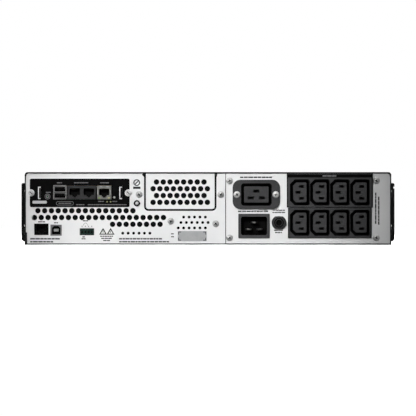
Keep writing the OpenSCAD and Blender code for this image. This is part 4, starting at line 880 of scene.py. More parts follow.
def build_print():
    """Fine print on the panels, greeked, with plain symbols that carry no mark."""
    left = span("top_cover").low.x
    plane = span("rear_panel").low.y
    small, tiny = 1.65, 1.25
    shape = Shape()
    lines = [                                   # from, to, height above the base, size
        (6.4, 42.9, 7.4, small), (6.4, 33.5, 3.9, small), (15.8, 24.0, 27.4, tiny),
        (34.6, 39.3, 26.3, tiny),
        (88.8, 104.1, 10.4, tiny), (90.2, 102.6, 7.9, tiny), (92.4, 100.6, 5.4, tiny),
        (111.2, 161.8, 7.4, small), (111.2, 170.1, 3.9, small), (172.5, 177.2, 13.3, tiny),
        (172.5, 177.2, 9.8, tiny), (253.7, 291.4, 79.9, small), (251.4, 287.9, 39.8, small),
        (292.6, 306.7, 41.0, tiny), (292.0, 307.0, 38.4, tiny), (293.8, 304.4, 17.4, tiny),
        (295.0, 303.2, 14.7, tiny)]
    for i, (x0, x1, z, size) in enumerate(lines):
        shape.words(left + x0, left + x1, z, size, plane, i)
    for i, (x, z0, z1) in enumerate(((413.6, 25, 62), (417.2, 24, 58))):
        shape.words(z0, z1, left + x, small, plane, 40 + i, upright=True)
    # terminal block's symbols: a small arch over it, and ticks over and under its poles
    arch = [math.pi * k / 8 for k in range(9)]
    shape.tube([(left + 71.6 + 2.32 * math.cos(a), plane - 0.03, 23.2 + 2.9 * math.sin(a)) for a in arch],
               0.22, 4)
    shape.words(left + 68.6, left + 74.8, 28.6, tiny, plane, 50)
    for k in range(4):
        x = left + 67.6 + 3.81 * k
        shape.block((x - 0.35, plane - INK_DEPTH, 21.4), (x + 0.35, plane, 22.8))
    shape.words(left + 67.0, left + 71.6, 7.4, tiny, plane, 51)
    shape.words(left + 68.0, left + 71.0, 9.6, tiny, plane, 52)
    # plain hollow triangles, each with a short upright bar inside
    for x in (92.3, 101.2):
        outer = [(-4.7, -4.0), (4.7, -4.0), (0, 4.0)]
        inner = [(-2.6, -2.8), (2.6, -2.8), (0, 1.5)]
        shape.frame(outer, inner, 0, INK_DEPTH, "-Y", (left + x, plane, 16.3))
        shape.block((left + x - 0.35, plane - INK_DEPTH, 14.2), (left + x + 0.35, plane, 16.6))
    # a slashed ring over a bar, in place of the handling mark
    shape.frame(circle(4.0, 28), circle(2.7, 28), 0, INK_DEPTH, "-Y", (left + 132.0, plane, 73.6))
    shape.prism([(-2.9, -2.0), (-2.0, -2.9), (2.9, 2.0), (2.0, 2.9)], 0, INK_DEPTH, "-Y",
                (left + 132.0, plane, 73.6))
    shape.block((left + 127.8, plane - INK_DEPTH, 66.2), (left + 136.4, plane, 68.9))
    shape.piece("panel_print", INK_DARK, "chassis", "overlay_black")


def build_rating_plate():
    """Corner brackets on the blank rating plate."""
    plate = span("rating_plate")
    shape = Shape()
    plane = plate.low.y
    long, wide, inset = 3.4, 0.9, 0.7
    for sx in (-1, 1):
        for sz in (-1, 1):
            x = plate.mid.x + sx * (plate.size.x / 2 - inset)
            z = plate.mid.z + sz * (plate.size.z / 2 - inset)
            shape.block((min(x, x - sx * long), plane - INK_DEPTH, min(z, z - sz * wide)),
                        (max(x, x - sx * long), plane, max(z, z - sz * wide)))
            shape.block((min(x, x - sx * wide), plane - INK_DEPTH, min(z, z - sz * long)),
                        (max(x, x - sx * wide), plane, max(z, z - sz * long)))
    shape.piece("rating_plate_brackets", INK_DARK, "chassis", "overlay_black")


# ---------------------------------------------------------------- outlets, inlet and breaker

OUTLET_W, OUTLET_H, GROOVE = 21.9, 29.4, 3.0
OUTLET_DEPTH = 16.5
# a groove's black liner is painted shade inside the groove
LINER = 0.12                # thickness of a groove's black liner
CONTACT_OFFSET = 2 / 3      # mean of a small outlet's contacts, right of its centre
CONTACT_GAP = 0.3           # from a contact to the side of its slot


def outlet_centres():
    """Centres of the small outlets and of the large one, found from their contacts."""
    small, large = [], None
    for group in groups(solids("outlet_contacts"), 11.5):
        x = sum(b.mid.x for b in group) / len(group)
        z = sum(b.mid.z for b in group) / len(group)
        if x < span("lower_outlet_bank").low.x:
            large = (x, z)
        else:
            small.append((x - CONTACT_OFFSET, z))
    return small, large


def groove_shade_liner(shape, at, proud, outer, wall, rim, core, sleeve):
    """Painted shade in the groove round an outlet's core: a black liner on its walls and floor, with a fine
    dark rim round its mouth on the face.
    """
    end = OUTLET_DEPTH - 0.1
    shape.frame(outer, wall, -proud, end, "+Y", at)
    shape.frame(rim, outer, -proud, 0.05, "+Y", at)
    shape.frame(sleeve, core, 0.25, end, "+Y", at)
    shape.frame(outer, core, OUTLET_DEPTH - 0.2, OUTLET_DEPTH - 0.05, "+Y", at)


def build_outlet_trim():
    """Painted shade in the outlets' grooves as black liners, borders round the banks and the strip along
    the top.
    """
    small, _ = outlet_centres()
    core_w, core_h = OUTLET_W - 2 * GROOVE, OUTLET_H - 2 * GROOVE
    outer = outlet_outline(OUTLET_W, OUTLET_H, 5.4, 2)
    wall = outlet_outline(OUTLET_W - 2 * LINER, OUTLET_H - 2 * LINER, 5.35, 1.9)
    rim = outlet_outline(OUTLET_W + 1.2, OUTLET_H + 1.4, 5.7, 2.4)
    core = outlet_outline(core_w, core_h, 3.6, 1.4)
    sleeve = outlet_outline(core_w + 2 * LINER, core_h + 2 * LINER, 3.65, 1.5)
    edge = 1.1
    for node in ("upper_outlet_bank", "lower_outlet_bank"):
        bank = span(node)
        face = bank.low.y
        shape = Shape()
        for x, z in small:
            if bank.low.z < z < bank.high.z:
                groove_shade_liner(shape, (x, face, z), 0.15, outer, wall, rim, core, sleeve)
        for x in (bank.low.x, bank.high.x - edge):
            shape.block((x, face - 0.3, bank.low.z), (x + edge, face, bank.high.z))
        shape.block((bank.low.x, face - 0.3, bank.low.z), (bank.high.x, face, bank.low.z + 0.6))
        if node == "upper_outlet_bank":
            shape.block((bank.low.x + edge, face + 0.02, bank.high.z - 4.5),
                        (bank.high.x - edge, face + 0.7, bank.high.z - 0.9))
        shape.piece(node + "_trim", BLACK_RIM_AND_RECESS_SHADE, "chassis", "outlet_plastic")
    bank = span("upper_outlet_bank")
    mark = Shape()
    mid = bank.mid.x
    mark.words(mid - 8.6, mid + 7.6, bank.high.z - 2.7, 1.9, bank.low.y + 0.02, 61)
    mark.piece("outlet_strip_print", INK_DIM, "chassis", "overlay_black")


def build_slot_shade_liners():
    """Painted shade in the outlets' slots: black liners down each slot, with a fine dark edge round each on
    the outlet's face.
    """
    shape = Shape()
    skin, edge, depth = 0.08, 0.25, 7.0
    banks = span("lower_outlet_bank")
    for leaves in groups(solids("outlet_contacts"), 3.5):
        x = sum(leaf.mid.x for leaf in leaves) / len(leaves)
        z = sum(leaf.mid.z for leaf in leaves) / len(leaves)
        w = leaves[0].size.x + 2 * CONTACT_GAP
        h = max(leaf.high.z for leaf in leaves) - min(leaf.low.z for leaf in leaves)
        face = span("c19_outlet").low.y if x < banks.low.x else banks.low.y
        wall, inner = rounded(w, h, 0.2), rounded(w - 2 * skin, h - 2 * skin, 0.15)
        shape.frame(wall, inner, -INK_DEPTH, depth, "+Y", (x, face, z))
        shape.frame(rounded(w + 2 * edge, h + 2 * edge, 0.4), wall, -INK_DEPTH, 0.02, "+Y", (x, face, z))
    shape.piece("outlet_slot_shade_liners", BLACK_RIM_AND_RECESS_SHADE, "chassis", "outlet_plastic")


def build_large_outlet():
    """A black liner for the large outlet's groove: painted shade inside it."""
    _, (x, _) = outlet_centres()
    box = span("c19_outlet")
    w, h, groove = 35.0, 25.3, 3.1
    core_w, core_h = w - 2 * groove, h - 2 * groove
    shape = Shape()
    groove_shade_liner(shape, (x, box.low.y, box.mid.z), 0.2,
                 outer=rounded(w, h, 3), wall=rounded(w - 2 * LINER, h - 2 * LINER, 2.9),
                 rim=rounded(w + 1, h + 1, 3.4), core=rounded(core_w, core_h, 1.2),
                 sleeve=rounded(core_w + 2 * LINER, core_h + 2 * LINER, 1.3))
    shape.piece("large_outlet_shade_liner", BLACK_RIM_AND_RECESS_SHADE, "chassis", "outlet_plastic")


def build_inlet_pins():
    """Flat pins with chamfered tips, and the black liner round them, painted shade inside the inlet's
    cavity.
    """
    shape = Shape()
    taper, step_x, step_z = 2.2, 1.9, 0.4
    for pin in solids("c20_inlet_pins"):
        tip, w, h = pin.low.y, pin.size.x / 2, pin.size.z / 2
        flat = [(w, h), (-w, h), (-w, -h), (w, -h)]
        end = [(px - math.copysign(step_x, px), pz - math.copysign(step_z, pz)) for px, pz in flat]
        shape.loops([[(pin.mid.x + px, y, pin.mid.z + pz) for px, pz in outline]
                     for outline, y in ((end, tip), (flat, tip + taper), (flat, pin.high.y))])
    shape.piece("inlet_pins_chamfered", PIN, "chassis", "pin_metal", bevel=0.15,
                replaces=["c20_inlet_pins"])
    box = span("c20_inlet")
    at = (box.mid.x, box.low.y, box.mid.z)
    # black walls and floor in the cavity: painted shade
    liner = Shape()
    outer, inner = rounded(30.8, 21.9, 2.4), rounded(30.5, 21.6, 2.3)
    liner.frame(outer, inner, 1.2, 18.8, "+Y", at)
    liner.prism(inner, 18.5, 18.8, "+Y", at)
    liner.piece("inlet_shade_liner", BLACK_RIM_AND_RECESS_SHADE, "chassis", "inlet_plastic")


def build_breaker():
    """The breaker's threaded collar, its groove and the button's domed cap."""
    body, nut, button = span("breaker_body"), span("breaker_nut"), span("breaker_button")
    x, z = nut.mid.x, nut.mid.z
    shape = Shape()
    r = nut.size.x / 2
    shape.frame(circle(r - 0.9, 48), circle(r - 2.2, 48), 0, 0.5, "-Y", (x, nut.low.y, z))
    shape.frame(circle(4.55, 48), circle(3.72, 48), 0, 0.5, "-Y", (x, body.low.y, z))
    shape.piece("breaker_collar", BREAKER, "chassis", "breaker_plastic", bevel=0.2)
    cap = Shape()
    cap.lathe([(3.35, -0.1), (3.3, 0.25), (2.9, 0.5), (2.2, 0.4), (1.4, 0.2), (0.01, 0.15)],
              (button.mid.x, button.low.y, button.mid.z), "-Y", 36)
    cap.piece("breaker_button_cap", BLACK, "breaker_button", "breaker_black")


# ---------------------------------------------------------------- signal ports

def jack_contacts(shape, x, z, y, width, count, depth):
    """Springy wires in the roof of a modular jack."""
    for k in range(count):
        px = x + (k - (count - 1) / 2) * width / count
        shape.tube([(px, y + 0.8, z), (px, y + 2.2, z - 0.5), (px, y + depth * 0.5, z - 1.8),
                    (px, y + depth * 0.75, z - 2.6)], 0.19, 6)


def build_signal_ports():
    """Contacts and tongues of the serial socket, the USB-B socket and the terminal block."""
    wires = Shape()
    serial = span("serial_port")
    top = serial.high.z
    jack_contacts(wires, serial.mid.x, top - 2.4, serial.low.y, 10.4, 10, 11)
    usb = span("usb_port")
    centre = usb.high.z - 6.2
    for side in (-1, 1):
        for px in (-1.2, 1.2):
            z = centre + side * 1.58
            wires.block((usb.mid.x + px - 0.4, usb.low.y + 1.6, z - 0.1),
                        (usb.mid.x + px + 0.4, usb.low.y + 9, z + 0.1))
    wires.piece("port_contacts", BRASS, "chassis", "contact_brass")

    tongue = Shape()
    tongue.block((usb.mid.x - 2.75, usb.low.y + 0.9, centre - 1.55),
                 (usb.mid.x + 2.75, usb.low.y + 11, centre + 1.55))
    tongue.piece("usb_b_tongue", SHELL, "chassis", "port_shell", bevel=0.25)

    # black walls and back inside the USB-B mouth: painted shade
    dark = Shape()
    mouth = [(-5, -4.9), (5, -4.9), (5, 2.5), (2.6, 4.9), (-2.6, 4.9), (-5, 2.5)]
    inner = [(px * 0.95, pz * 0.95) for px, pz in mouth]
    dark.frame(mouth, inner, 0.15, 11.8, "+Y", (usb.mid.x, usb.low.y, centre))
    dark.prism(inner, 11.4, 11.8, "+Y", (usb.mid.x, usb.low.y, centre))
    dark.piece("usb_b_shade_liner", BLACK, "chassis", "breaker_black")

    plug = span("epo_plug")
    # black sleeves in the wire entries and black clamp heads behind them: painted shade inside the entries
    screws, sleeves = Shape(), Shape()
    for k in range(4):
        px = plug.mid.x + (k - 1.5) * 3.81
        screws.lathe([(1.05, 0), (1.05, 0.3), (0.9, 0.45), (0.01, 0.5)],
                     (px, plug.low.y + 3.9, plug.mid.z - 0.3), "-Y", 20)
        sleeves.frame(rounded(2.5, 4.1, 0.3), rounded(2.2, 3.8, 0.2), -0.05, 3.4, "+Y",
                      (px, plug.low.y, plug.mid.z - 0.3))
    screws.piece("terminal_clamps_in_shade", BLACK, "epo_plug", "screw_steel")
    sleeves.piece("terminal_entry_shade", BLACK, "epo_plug", "terminal_green")


def console_place():
    """The middle of the card's console socket, on the overlay's face."""
    usb = span("card_usb_ports")
    return (usb.mid.x - 14.6, span("card_overlay").low.y, usb.low.z + 3.2)


def build_card_ports():
    """Fine parts of the accessory card's ports and console socket."""
    usb, io, network = span("card_usb_ports"), span("card_io_ports"), span("card_network_port")
    # dark: black walls and back plates inside the ports' mouths and the console socket, painted shade
    wires, plastic, metal, dark = Shape(), Shape(), Shape(), Shape()
    for level in (4.4, 12.0):
        z = usb.low.z + level
        at = (usb.mid.x, usb.low.y, z)
        plastic.block((usb.mid.x - 5.6, usb.low.y + 1.0, z - 0.25),
                      (usb.mid.x + 5.6, usb.low.y + 14, z + 1.6))
        for k in range(4):
            px = usb.mid.x + (k - 1.5) * 2.5
            wires.block((px - 0.5, usb.low.y + 1.8, z - 0.36), (px + 0.5, usb.low.y + 11, z - 0.2))
        outer, inner = rounded(13.1, 5.6, 0.5), rounded(12.8, 5.3, 0.4)
        dark.frame(outer, inner, 0.3, 15.5, "+Y", at)
        dark.prism(inner, 15.3, 15.8, "+Y", at)
        metal.frame(rounded(13.9, 6.4, 0.8), outer, -0.2, 0.2, "+Y", at)
    for side in (-1, 1):
        x = io.mid.x + side * io.size.x / 4
        jack_contacts(wires, x, io.mid.z + 4.4, io.low.y, 8.2, 8, 11)
        dark.block((x - 6.2, io.low.y + 12.2, io.low.z + 2.0), (x + 6.2, io.low.y + 12.9, io.high.z - 2))
    jack_contacts(wires, network.mid.x, network.mid.z + 4.0, network.low.y, 8.0, 8, 11)
    mouth = [(-6.0, 3.8), (-6.0, -3.8), (-3.1, -3.8), (-3.1, -5.4), (-1.7, -5.4), (-1.7, -6.6),
             (1.7, -6.6), (1.7, -5.4), (3.1, -5.4), (3.1, -3.8), (6.0, -3.8), (6.0, 3.8)]
    inner = [(px * 0.975, pz * 0.97 + 0.02) for px, pz in mouth]
    at = (network.mid.x, network.low.y, network.mid.z + 0.6)
    dark.frame(mouth, inner, 0.25, 13.8, "+Y", at)
    dark.prism(inner, 13.2, 13.8, "+Y", at)
    metal.frame(rounded(15.2, 16.4, 0.4), rounded(14.3, 15.5, 0.3), -0.15, 0.1, "+Y",
                (usb.mid.x, usb.low.y, usb.mid.z))
    # earthing tabs round the network jack's shield
    for side in (-1, 1):
        metal.block((network.mid.x + side * 7.6 - 0.5, network.low.y - 0.2, network.mid.z - 2.6),
                    (network.mid.x + side * 7.6 + 0.5, network.low.y, network.mid.z + 2.6))
        metal.block((network.mid.x + side * 4 - 1.4, network.low.y - 0.2, network.high.z - 1.6),
                    (network.mid.x + side * 4 + 1.4, network.low.y, network.high.z - 0.6))
    metal.frame(circle(1.88, 32), circle(1.2, 32), 0.2, 0.4, "-Y", console_place())
    dark.frame(circle(1.24, 32), circle(1.1, 32), -8, 0.15, "-Y", console_place())
    body = "network_card"
    wires.piece("card_port_contacts", BRASS, body, "contact_brass")
    plastic.piece("card_usb_tongues", BLACK, body, "breaker_black", bevel=0.12)
    metal.piece("card_port_shields", SHELL, body, "port_shell", bevel=0.06)
    dark.piece("card_port_shade_liners", BLACK, body, "breaker_black")


def build_card_lights():
    """Lenses of the card's two lights and of the network jack's, and the reset button's cap."""
    body, face = "network_card", span("card_overlay").low.y
    network = span("card_network_port")
    for name, px in (("card_light_left", -118.9), ("card_light_right", -114.7)):
        lens = Shape()
        lens.lathe([(0.86, -0.2), (0.86, 0.1), (0.6, 0.28), (0.01, 0.34)], (px, face, 51.1), "-Y", 24)
        lens.piece(name, LAMP_AMBER, body, "reset_plastic")
    for name, side, look in (("network_light_left", -1, LAMP_GREEN),
                             ("network_light_right", 1, LAMP_AMBER)):
        lens = Shape()
        x = network.mid.x + side * 5.6
        lens.prism(rounded(2.6, 1.5, 0.3), 0, 0.22, "-Y", (x, network.low.y, network.low.z + 1.6))
        lens.piece(name, look, body, "reset_plastic", bevel=0.08)
    cap = Shape()
    reset = span("card_reset_button")
    cap.lathe([(1.05, -0.2), (1.05, 0.02), (0.8, 0.14), (0.01, 0.18)],
              (reset.mid.x, reset.low.y, reset.mid.z), "-Y", 24)
    cap.piece("card_reset_cap", WHITE, "card_reset_button", "reset_plastic")


def build_card_print():
    """The overlay's greeked print, its name bar and the dark floors of its pull tabs."""
    body, overlay = "network_card", span("card_overlay")
    face, left = overlay.low.y, span("top_cover").low.x
    mark = Shape()
    words = ((38.0, 44.0, 73.4), (58.0, 75.0, 73.4), (89.0, 99.4, 73.4), (25.0, 32.0, 62.2),
             (86.6, 93.5, 51.5), (103.4, 109.0, 51.4), (60.6, 71.2, 47.6), (74.3, 120.1, 47.6))
    for i, (x0, x1, z) in enumerate(words):
        mark.words(left + x0, left + x1, z, 1.15, face, 70 + i)
    for x in (58.8, 74.7):
        mark.prism(circle(0.4, 12), 0, INK_DEPTH, "-Y", (left + x, face, 70.4))
    # an outlined field, and a plain bar where a maker would print a name
    pill = (left + 47.4, face, 49.2)
    mark.frame(rounded(20.6, 4.8, 2.2), rounded(19.4, 3.6, 1.6), 0, INK_DEPTH, "-Y", pill)
    mark.words(pill[0] - 7.4, pill[0] + 7.4, pill[2], 1.3, face, 80)
    mark.frame(circle(3.4, 32), circle(2.7, 32), 0, INK_DEPTH, "-Y", console_place())
    mark.piece("card_print", INK_DIM, body, "overlay_black")
    bar = Shape()
    bar.prism(rounded(17.0, 3.4, 1.2), 0, INK_DEPTH, "-Y", (left + 17.6, face, 50.6))
    bar.piece("card_name_bar", INK_LIGHT, body, "overlay_black")
    floors = Shape()
    for dx in (-48.8, 47.0):
        x = overlay.mid.x + dx
        floors.block((x + 0.9, face + 0.05, overlay.mid.z - 6.1),
                     (x + 2.8, overlay.high.y, overlay.mid.z + 6.1))
    floors.piece("pull_tab_floors", OVERLAY, body, "overlay_black")


def chip(shape, legs, box, top, pins):
    """A chip's lid up to a height, with a dot by its first leg, and rows of bent legs along two sides."""
    half = box.size.y * 0.2 / pins
    for side in (-1, 1):
        edge = box.mid.x + side * box.size.x / 2
        for k in range(pins):
            y = box.mid.y + (k - (pins - 1) / 2) * box.size.y * 0.86 / pins
            for near, far, low, high in ((0, 0.9, 0.5, 0.75), (0.6, 1.5, 0.02, 0.3)):
                x0, x1 = sorted((edge + side * near, edge + side * far))
                legs.block((x0, y - half, box.low.z + low), (x1, y + half, box.low.z + high))
    shape.block((box.low.x + 0.1, box.low.y + 0.1, box.high.z), (box.high.x - 0.1, box.high.y - 0.1, top))
    shape.lathe([(0.5, 0), (0.5, 0.06), (0.01, 0.08)], (box.low.x + 1.4, box.low.y + 1.4, top), "+Z", 12)


def build_card_board():
    """Chips, a coin cell, capacitors and a pin header on the accessory card's board."""
    body, board = "network_card", span("card_board")
    rear = span("rear_panel").low.y
    top = board.low.z + 1.6
    bodies, legs, cans, cell = Shape(), Shape(), Shape(), Shape()
    for dx, dy, w in ((-30, 60, 14), (-5, 58, 20), (22, 66, 12), (34, 40, 9), (0, 88, 10)):
        x, y = board.mid.x + dx, rear + dy + w / 2
        box = Span((x - w / 2, y - w / 2, top), (x + w / 2, y + w / 2, top + 1.6))
        chip(bodies, legs, box, top + 1.75, 8 if w < 13 else 14)
    for x, y, r, h in ((-40, 34, 3, 7), (-32, 34, 3, 7), (42, 74, 4, 9), (42, 86, 4, 9), (-18, 84, 2.5, 6)):
        can = [(r * 0.9, 0), (r, 0.5), (r, h - 0.8), (r * 0.9, h - 0.3), (r * 0.84, h), (0.01, h - 0.15)]
        cans.lathe(can, (board.mid.x + x, rear + y, top), "+Z", 28)
    cell.lathe([(9.6, 0), (10, 0.4), (10, 2.6), (9.2, 3.0), (8.4, 3.1), (0.01, 3.1)],
               (board.mid.x - 28, rear + 93, top), "+Z", 40)
    for k in range(10):
        for row in (0, 2.54):
            x, y = board.mid.x + 14 + 2.54 * k, rear + 98 + row
            bodies.block((x - 1.2, y - 1.2, top), (x + 1.2, y + 1.2, top + 2.5))
            legs.block((x - 0.32, y - 0.32, top + 2.4), (x + 0.32, y + 0.32, top + 8))
    for k in range(24):
        x, y = board.mid.x - 44 + 3.7 * k, rear + 30 + 5 * (k % 3)
        bodies.block((x - 0.5, y - 0.8, top), (x + 0.5, y + 0.8, top + 0.6))
        legs.block((x - 0.5, y - 1.1, top), (x + 0.5, y - 0.75, top + 0.55))
        legs.block((x - 0.5, y + 0.75, top), (x + 0.5, y + 1.1, top + 0.55))
    for k in range(18):
        x = board.mid.x - 43.2 + 5.08 * k
        legs.block((x - 1.3, board.high.y - 7, top), (x + 1.3, board.high.y - 0.4, top + 0.05))
    bodies.piece("card_chips", BLACK, body, "breaker_black", bevel=0.1)
    legs.piece("card_chip_legs", TIN, body, "port_shell")
    cans.piece("card_capacitors", ALLOY, body, "heatsink_metal")
    cell.piece("card_coin_cell", STEEL, body, "port_shell", bevel=0.1)


# ---------------------------------------------------------------- battery drawer

def build_batteries():
    """Lid strips with vent caps, terminals, labels and bolts on the drawer's blocks."""
    lids, vents, labels, lines, posts, bolts = Shape(), Shape(), Shape(), Shape(), Shape(), Shape()
    body = "battery_drawer"
    for one in solids("battery_blocks"):
        top = one.high.z
        w, d = one.size.x - 2, one.size.y - 2
        for side in (-1, 1):
            y = one.mid.y + side * d * 0.34
            lids.prism(rounded(w * 0.7, 13, 2), 0, 0.5, "+Z", (one.mid.x, y, top))
            for k in range(3):
                x = one.mid.x + (k - 1) * w * 0.22
                vents.lathe([(4.6, 0), (4.6, 0.25), (4.2, 0.42), (3.2, 0.42), (3.1, 0.25), (0.01, 0.25)],
                            (x, y, top + 0.5), "+Z", 32)
        labels.prism(rounded(w * 0.46, d * 0.26, 1.5), 0, 0.12, "+Z", (one.mid.x, one.mid.y, top))
        for k in range(4):
            y = one.mid.y + (k - 1.5) * d * 0.052
            lines.block((one.mid.x - w * 0.19, y - 0.7, top + 0.12),
                        (one.mid.x + w * (0.19 - 0.05 * (k % 2)), y + 0.7, top + 0.18))
        # ribs moulded into the case's ends
        for end in (one.low.y, one.high.y):
            for k in range(5):
                x = one.mid.x + (k - 2) * w * 0.2
                lids.block((x - 1.2, end - 0.25, one.low.z + 6), (x + 1.2, end + 0.25, top - 9))
        for side in (-1, 1):
            posts.prism(rounded(9.5, 9.5, 1), 0, 0.35, "+Z", (one.mid.x + side * w * 0.435, one.mid.y, top))
    for link in solids("battery_links"):
        for side in (-1, 1):
            at = (link.mid.x + side * 9.2, link.mid.y, link.high.z)
            bolts.prism(circle(3.3, 6, 0.3), 0, 0.7, "+Z", at)
            bolts.lathe([(4.2, 0), (4.2, 0.2), (3.4, 0.22)], at, "+Z", 28)
    lids.piece("battery_lid_strips", BATTERY_LID, body, "battery_case", bevel=0.15)
    vents.piece("battery_vent_caps", BATTERY, body, "battery_case")
    labels.piece("battery_labels", WHITE, body, "battery_case")
    lines.piece("battery_label_print", INK_DARK, body, "overlay_black")
    posts.piece("battery_terminal_seats", BATTERY_LID, body, "battery_case", bevel=0.1)
    bolts.piece("battery_link_bolts", STEEL, body, "screw_steel", bevel=0.1)


def build_battery_wires():
    """Two wires from the drawer's plug to the end terminals of the first row of blocks."""
    blocks, plug, tray = span("battery_blocks"), span("battery_plug"), span("battery_tray")
    row_y = min(round(b.mid.y, 1) for b in solids("battery_blocks"))
    for name, look, side in (("battery_wire_red", WIRE_RED, -1), ("battery_wire_black", WIRE_BLACK, 1)):
        shape = Shape()
        start = plug.mid.x + side * 14
        end = blocks.mid.x + side * (blocks.size.x / 2 - 6)
        z = blocks.high.z + 1.2
        back = tray.low.y - 6
        shape.tube([(start, plug.mid.y + 5, plug.high.z - 2), (start, plug.mid.y + 5, plug.high.z + 8),
                    (start + side * 2, back, z - 8), (start + side * 8, back + 1, z - 2),
                    (start + side * 20, back + 10, z + 0.1), (start + side * 34, back + 14, z),
                    (end - side * 20, back + 15, z), (end - side * 7, back + 18, z),
                    (end, back + 28, z), (end, row_y - 6, z)], 1.15, 10)
        shape.prism(rounded(8, 9, 1), 0, 1.5, "+Z", (end, row_y - 2, blocks.high.z + 0.35))
        shape.piece(name, look, "battery_drawer", "battery_case")


def build_drawer_front():
    """Grip ribs on the handle and on the battery plug."""
    bar = span("battery_handle")
    ribs = Shape()
    for k in range(23):
        x = bar.mid.x + (k - 11) * 3.6
        ribs.prism(rounded(1.5, 9, 0.7), 0, 0.35, "+Y", (x, bar.high.y, bar.mid.z))
    ribs.piece("handle_grip_ribs", HANDLE, "battery_drawer", "handle_plastic", bevel=0.15)
    plug = span("battery_plug")
    trim = Shape()
    for k in range(5):
        x = plug.mid.x + (k - 2) * 9
        trim.block((x - 2.6, plug.mid.y + 3, plug.high.z - 0.1),
                   (x + 2.6, plug.high.y - 1, plug.high.z + 0.5))
    trim.piece("battery_plug_ribs", CONNECTOR, "battery_drawer", "connector_grey", bevel=0.2)


# ---------------------------------------------------------------- front

def build_fascia():
    """A foam filter behind the grille, and a blank badge on it."""
    box = span("front_fascia")
    foam = Shape()
    foam.block((box.low.x + 6, box.high.y - 5.6, 9), (box.high.x - 6, box.high.y - 3.4, 77))
    foam.piece("fascia_filter", FOAM, "front_fascia", "fascia_plastic", bevel=0.3)
    badge, rim = Shape(), Shape()
    at = (box.mid.x, box.high.y, box.mid.z)
    badge.prism(rounded(62, 15, 3), -2.2, 0.5, "+Y", at)
    badge.piece("fascia_badge", FASCIA, "front_fascia", "fascia_plastic", bevel=0.4)
    rim.frame(rounded(56, 9, 2), rounded(54.6, 7.6, 1.4), 0.5, 0.62, "+Y", at)
    rim.piece("fascia_badge_line", STEEL, "front_fascia", "fascia_plastic")


def build_display():
    """The lit panel behind the window, its marks, the bezel and three small lights."""
    window, housing = span("display_window"), span("display_housing")
    face = housing.high.y
    x, z = window.mid.x, window.mid.z
    panel, marks = Shape(), Shape()
    level = window.low.y + 0.06
    panel.prism(rounded(42, 24, 0.5), 0, 0.06, "+Y", (x, level, z))
    panel.piece("display_panel", LCD, "chassis", "window_glass")

    def bar(x0, z0, x1, z1):
        marks.block((x + x0, level + 0.06, z + z0), (x + x1, level + 0.11, z + z1))
    for k in range(5):
        bar(-18 + 3.4 * k, -9.6, -15.6 + 3.4 * k, -6.6)
        bar(3 + 3.4 * k, -9.6, 5.4 + 3.4 * k, -6.6)
    for z0, lengths in ((7.2, (7, 11, 5)), (2.9, (9, 5, 12)), (-1.4, (5, 8, 6))):
        at = -18
        for n in lengths:
            bar(at, z0, at + n, z0 + 2.2)
            at += n + 1.6
    bar(-18.6, -4.6, 18.6, -4.3)
    marks.piece("display_marks", LCD_MARK, "chassis", "overlay_black")
    bezel = Shape()
    bezel.frame(rounded(53, 33, 3), rounded(48.6, 28.6, 1.7), -0.1, 0.45, "+Y", (x, face, z))
    bezel.piece("display_bezel", BLACK, "chassis", "fascia_plastic", bevel=0.25)
    lights = Shape()
    for k in range(3):
        lights.prism(rounded(4.6, 1.6, 0.5), -0.2, 0.25, "+Y", (x + (k - 1) * 12, face, z - 18.2))
    lights.piece("status_lights", LAMP_GREEN, "chassis", "reset_plastic", bevel=0.1)


def build_key_symbols():
    """A ring and stem on the power button, arrows on the others."""
    ring = [math.radians(115 + 310 * k / 24) for k in range(25)]
    arc = [(2.9 * math.cos(a), 2.9 * math.sin(a)) for a in ring]
    arc += [(2.2 * math.cos(a), 2.2 * math.sin(a)) for a in reversed(ring)]
    stem = [(-0.35, 0.6), (0.35, 0.6), (0.35, 3.6), (-0.35, 3.6)]
    bent_arrow = [(1.9, 1.6), (1.3, 1.6), (1.3, -0.1), (-0.6, -0.1), (-0.6, 0.9), (-2.1, -0.4),
                  (-0.6, -1.7), (-0.6, -0.7), (1.9, -0.7)]
    symbols = {
        "power_button": (arc, stem),
        "up_button": ([(-1.7, -1), (1.7, -1), (0, 1.6)],),
        "down_button": ([(-1.7, 1), (0, -1.6), (1.7, 1)],),
        "enter_button": (bent_arrow,)}
    for node, outlines in symbols.items():
        key = span(node)
        shape = Shape()
        for outline in outlines:
            shape.prism(outline, 0, 0.08, "+Y", (key.mid.x, key.high.y - 0.02, key.mid.z))
        shape.piece(node + "_symbol", INK_LIGHT, node, "overlay_black")


# ---------------------------------------------------------------- inside

def build_transformer_parts():
    """Straps round the transformer's core and leads from its coil."""
    core, coil = span("transformer_core"), span("transformer_coil")
    straps = Shape()
    for side in (-1, 1):
        x = core.mid.x + side * core.size.x * 0.36
        straps.block((x - 6, core.low.y - 0.8, core.low.z + 4), (x + 6, core.low.y, core.high.z))
        straps.block((x - 6, core.high.y, core.low.z + 4), (x + 6, core.high.y + 0.8, core.high.z))
        straps.block((x - 6, core.low.y - 0.8, core.high.z), (x + 6, core.high.y + 0.8, core.high.z + 0.8))
    straps.piece("transformer_straps", INNER, "chassis", "frame_steel", bevel=0.3)
    for name, look, y in (("transformer_lead_red", WIRE_RED, -8),
                          ("transformer_lead_black", WIRE_BLACK, 8)):
        lead = Shape()
        x0, y0 = coil.high.x - 6, coil.mid.y + y
        lead.tube([(x0, y0, coil.high.z - 1), (x0 + 8, y0, coil.high.z + 1.6),
                   (x0 + 22, y0 - 2, coil.high.z - 1), (x0 + 34, y0 - 6, core.high.z - 8),
                   (x0 + 38, y0 - 10, core.high.z - 24), (x0 + 42, y0 - 14, 13)], 1.7, 12)
        lead.piece(name, look, "chassis", "coil_wrap")


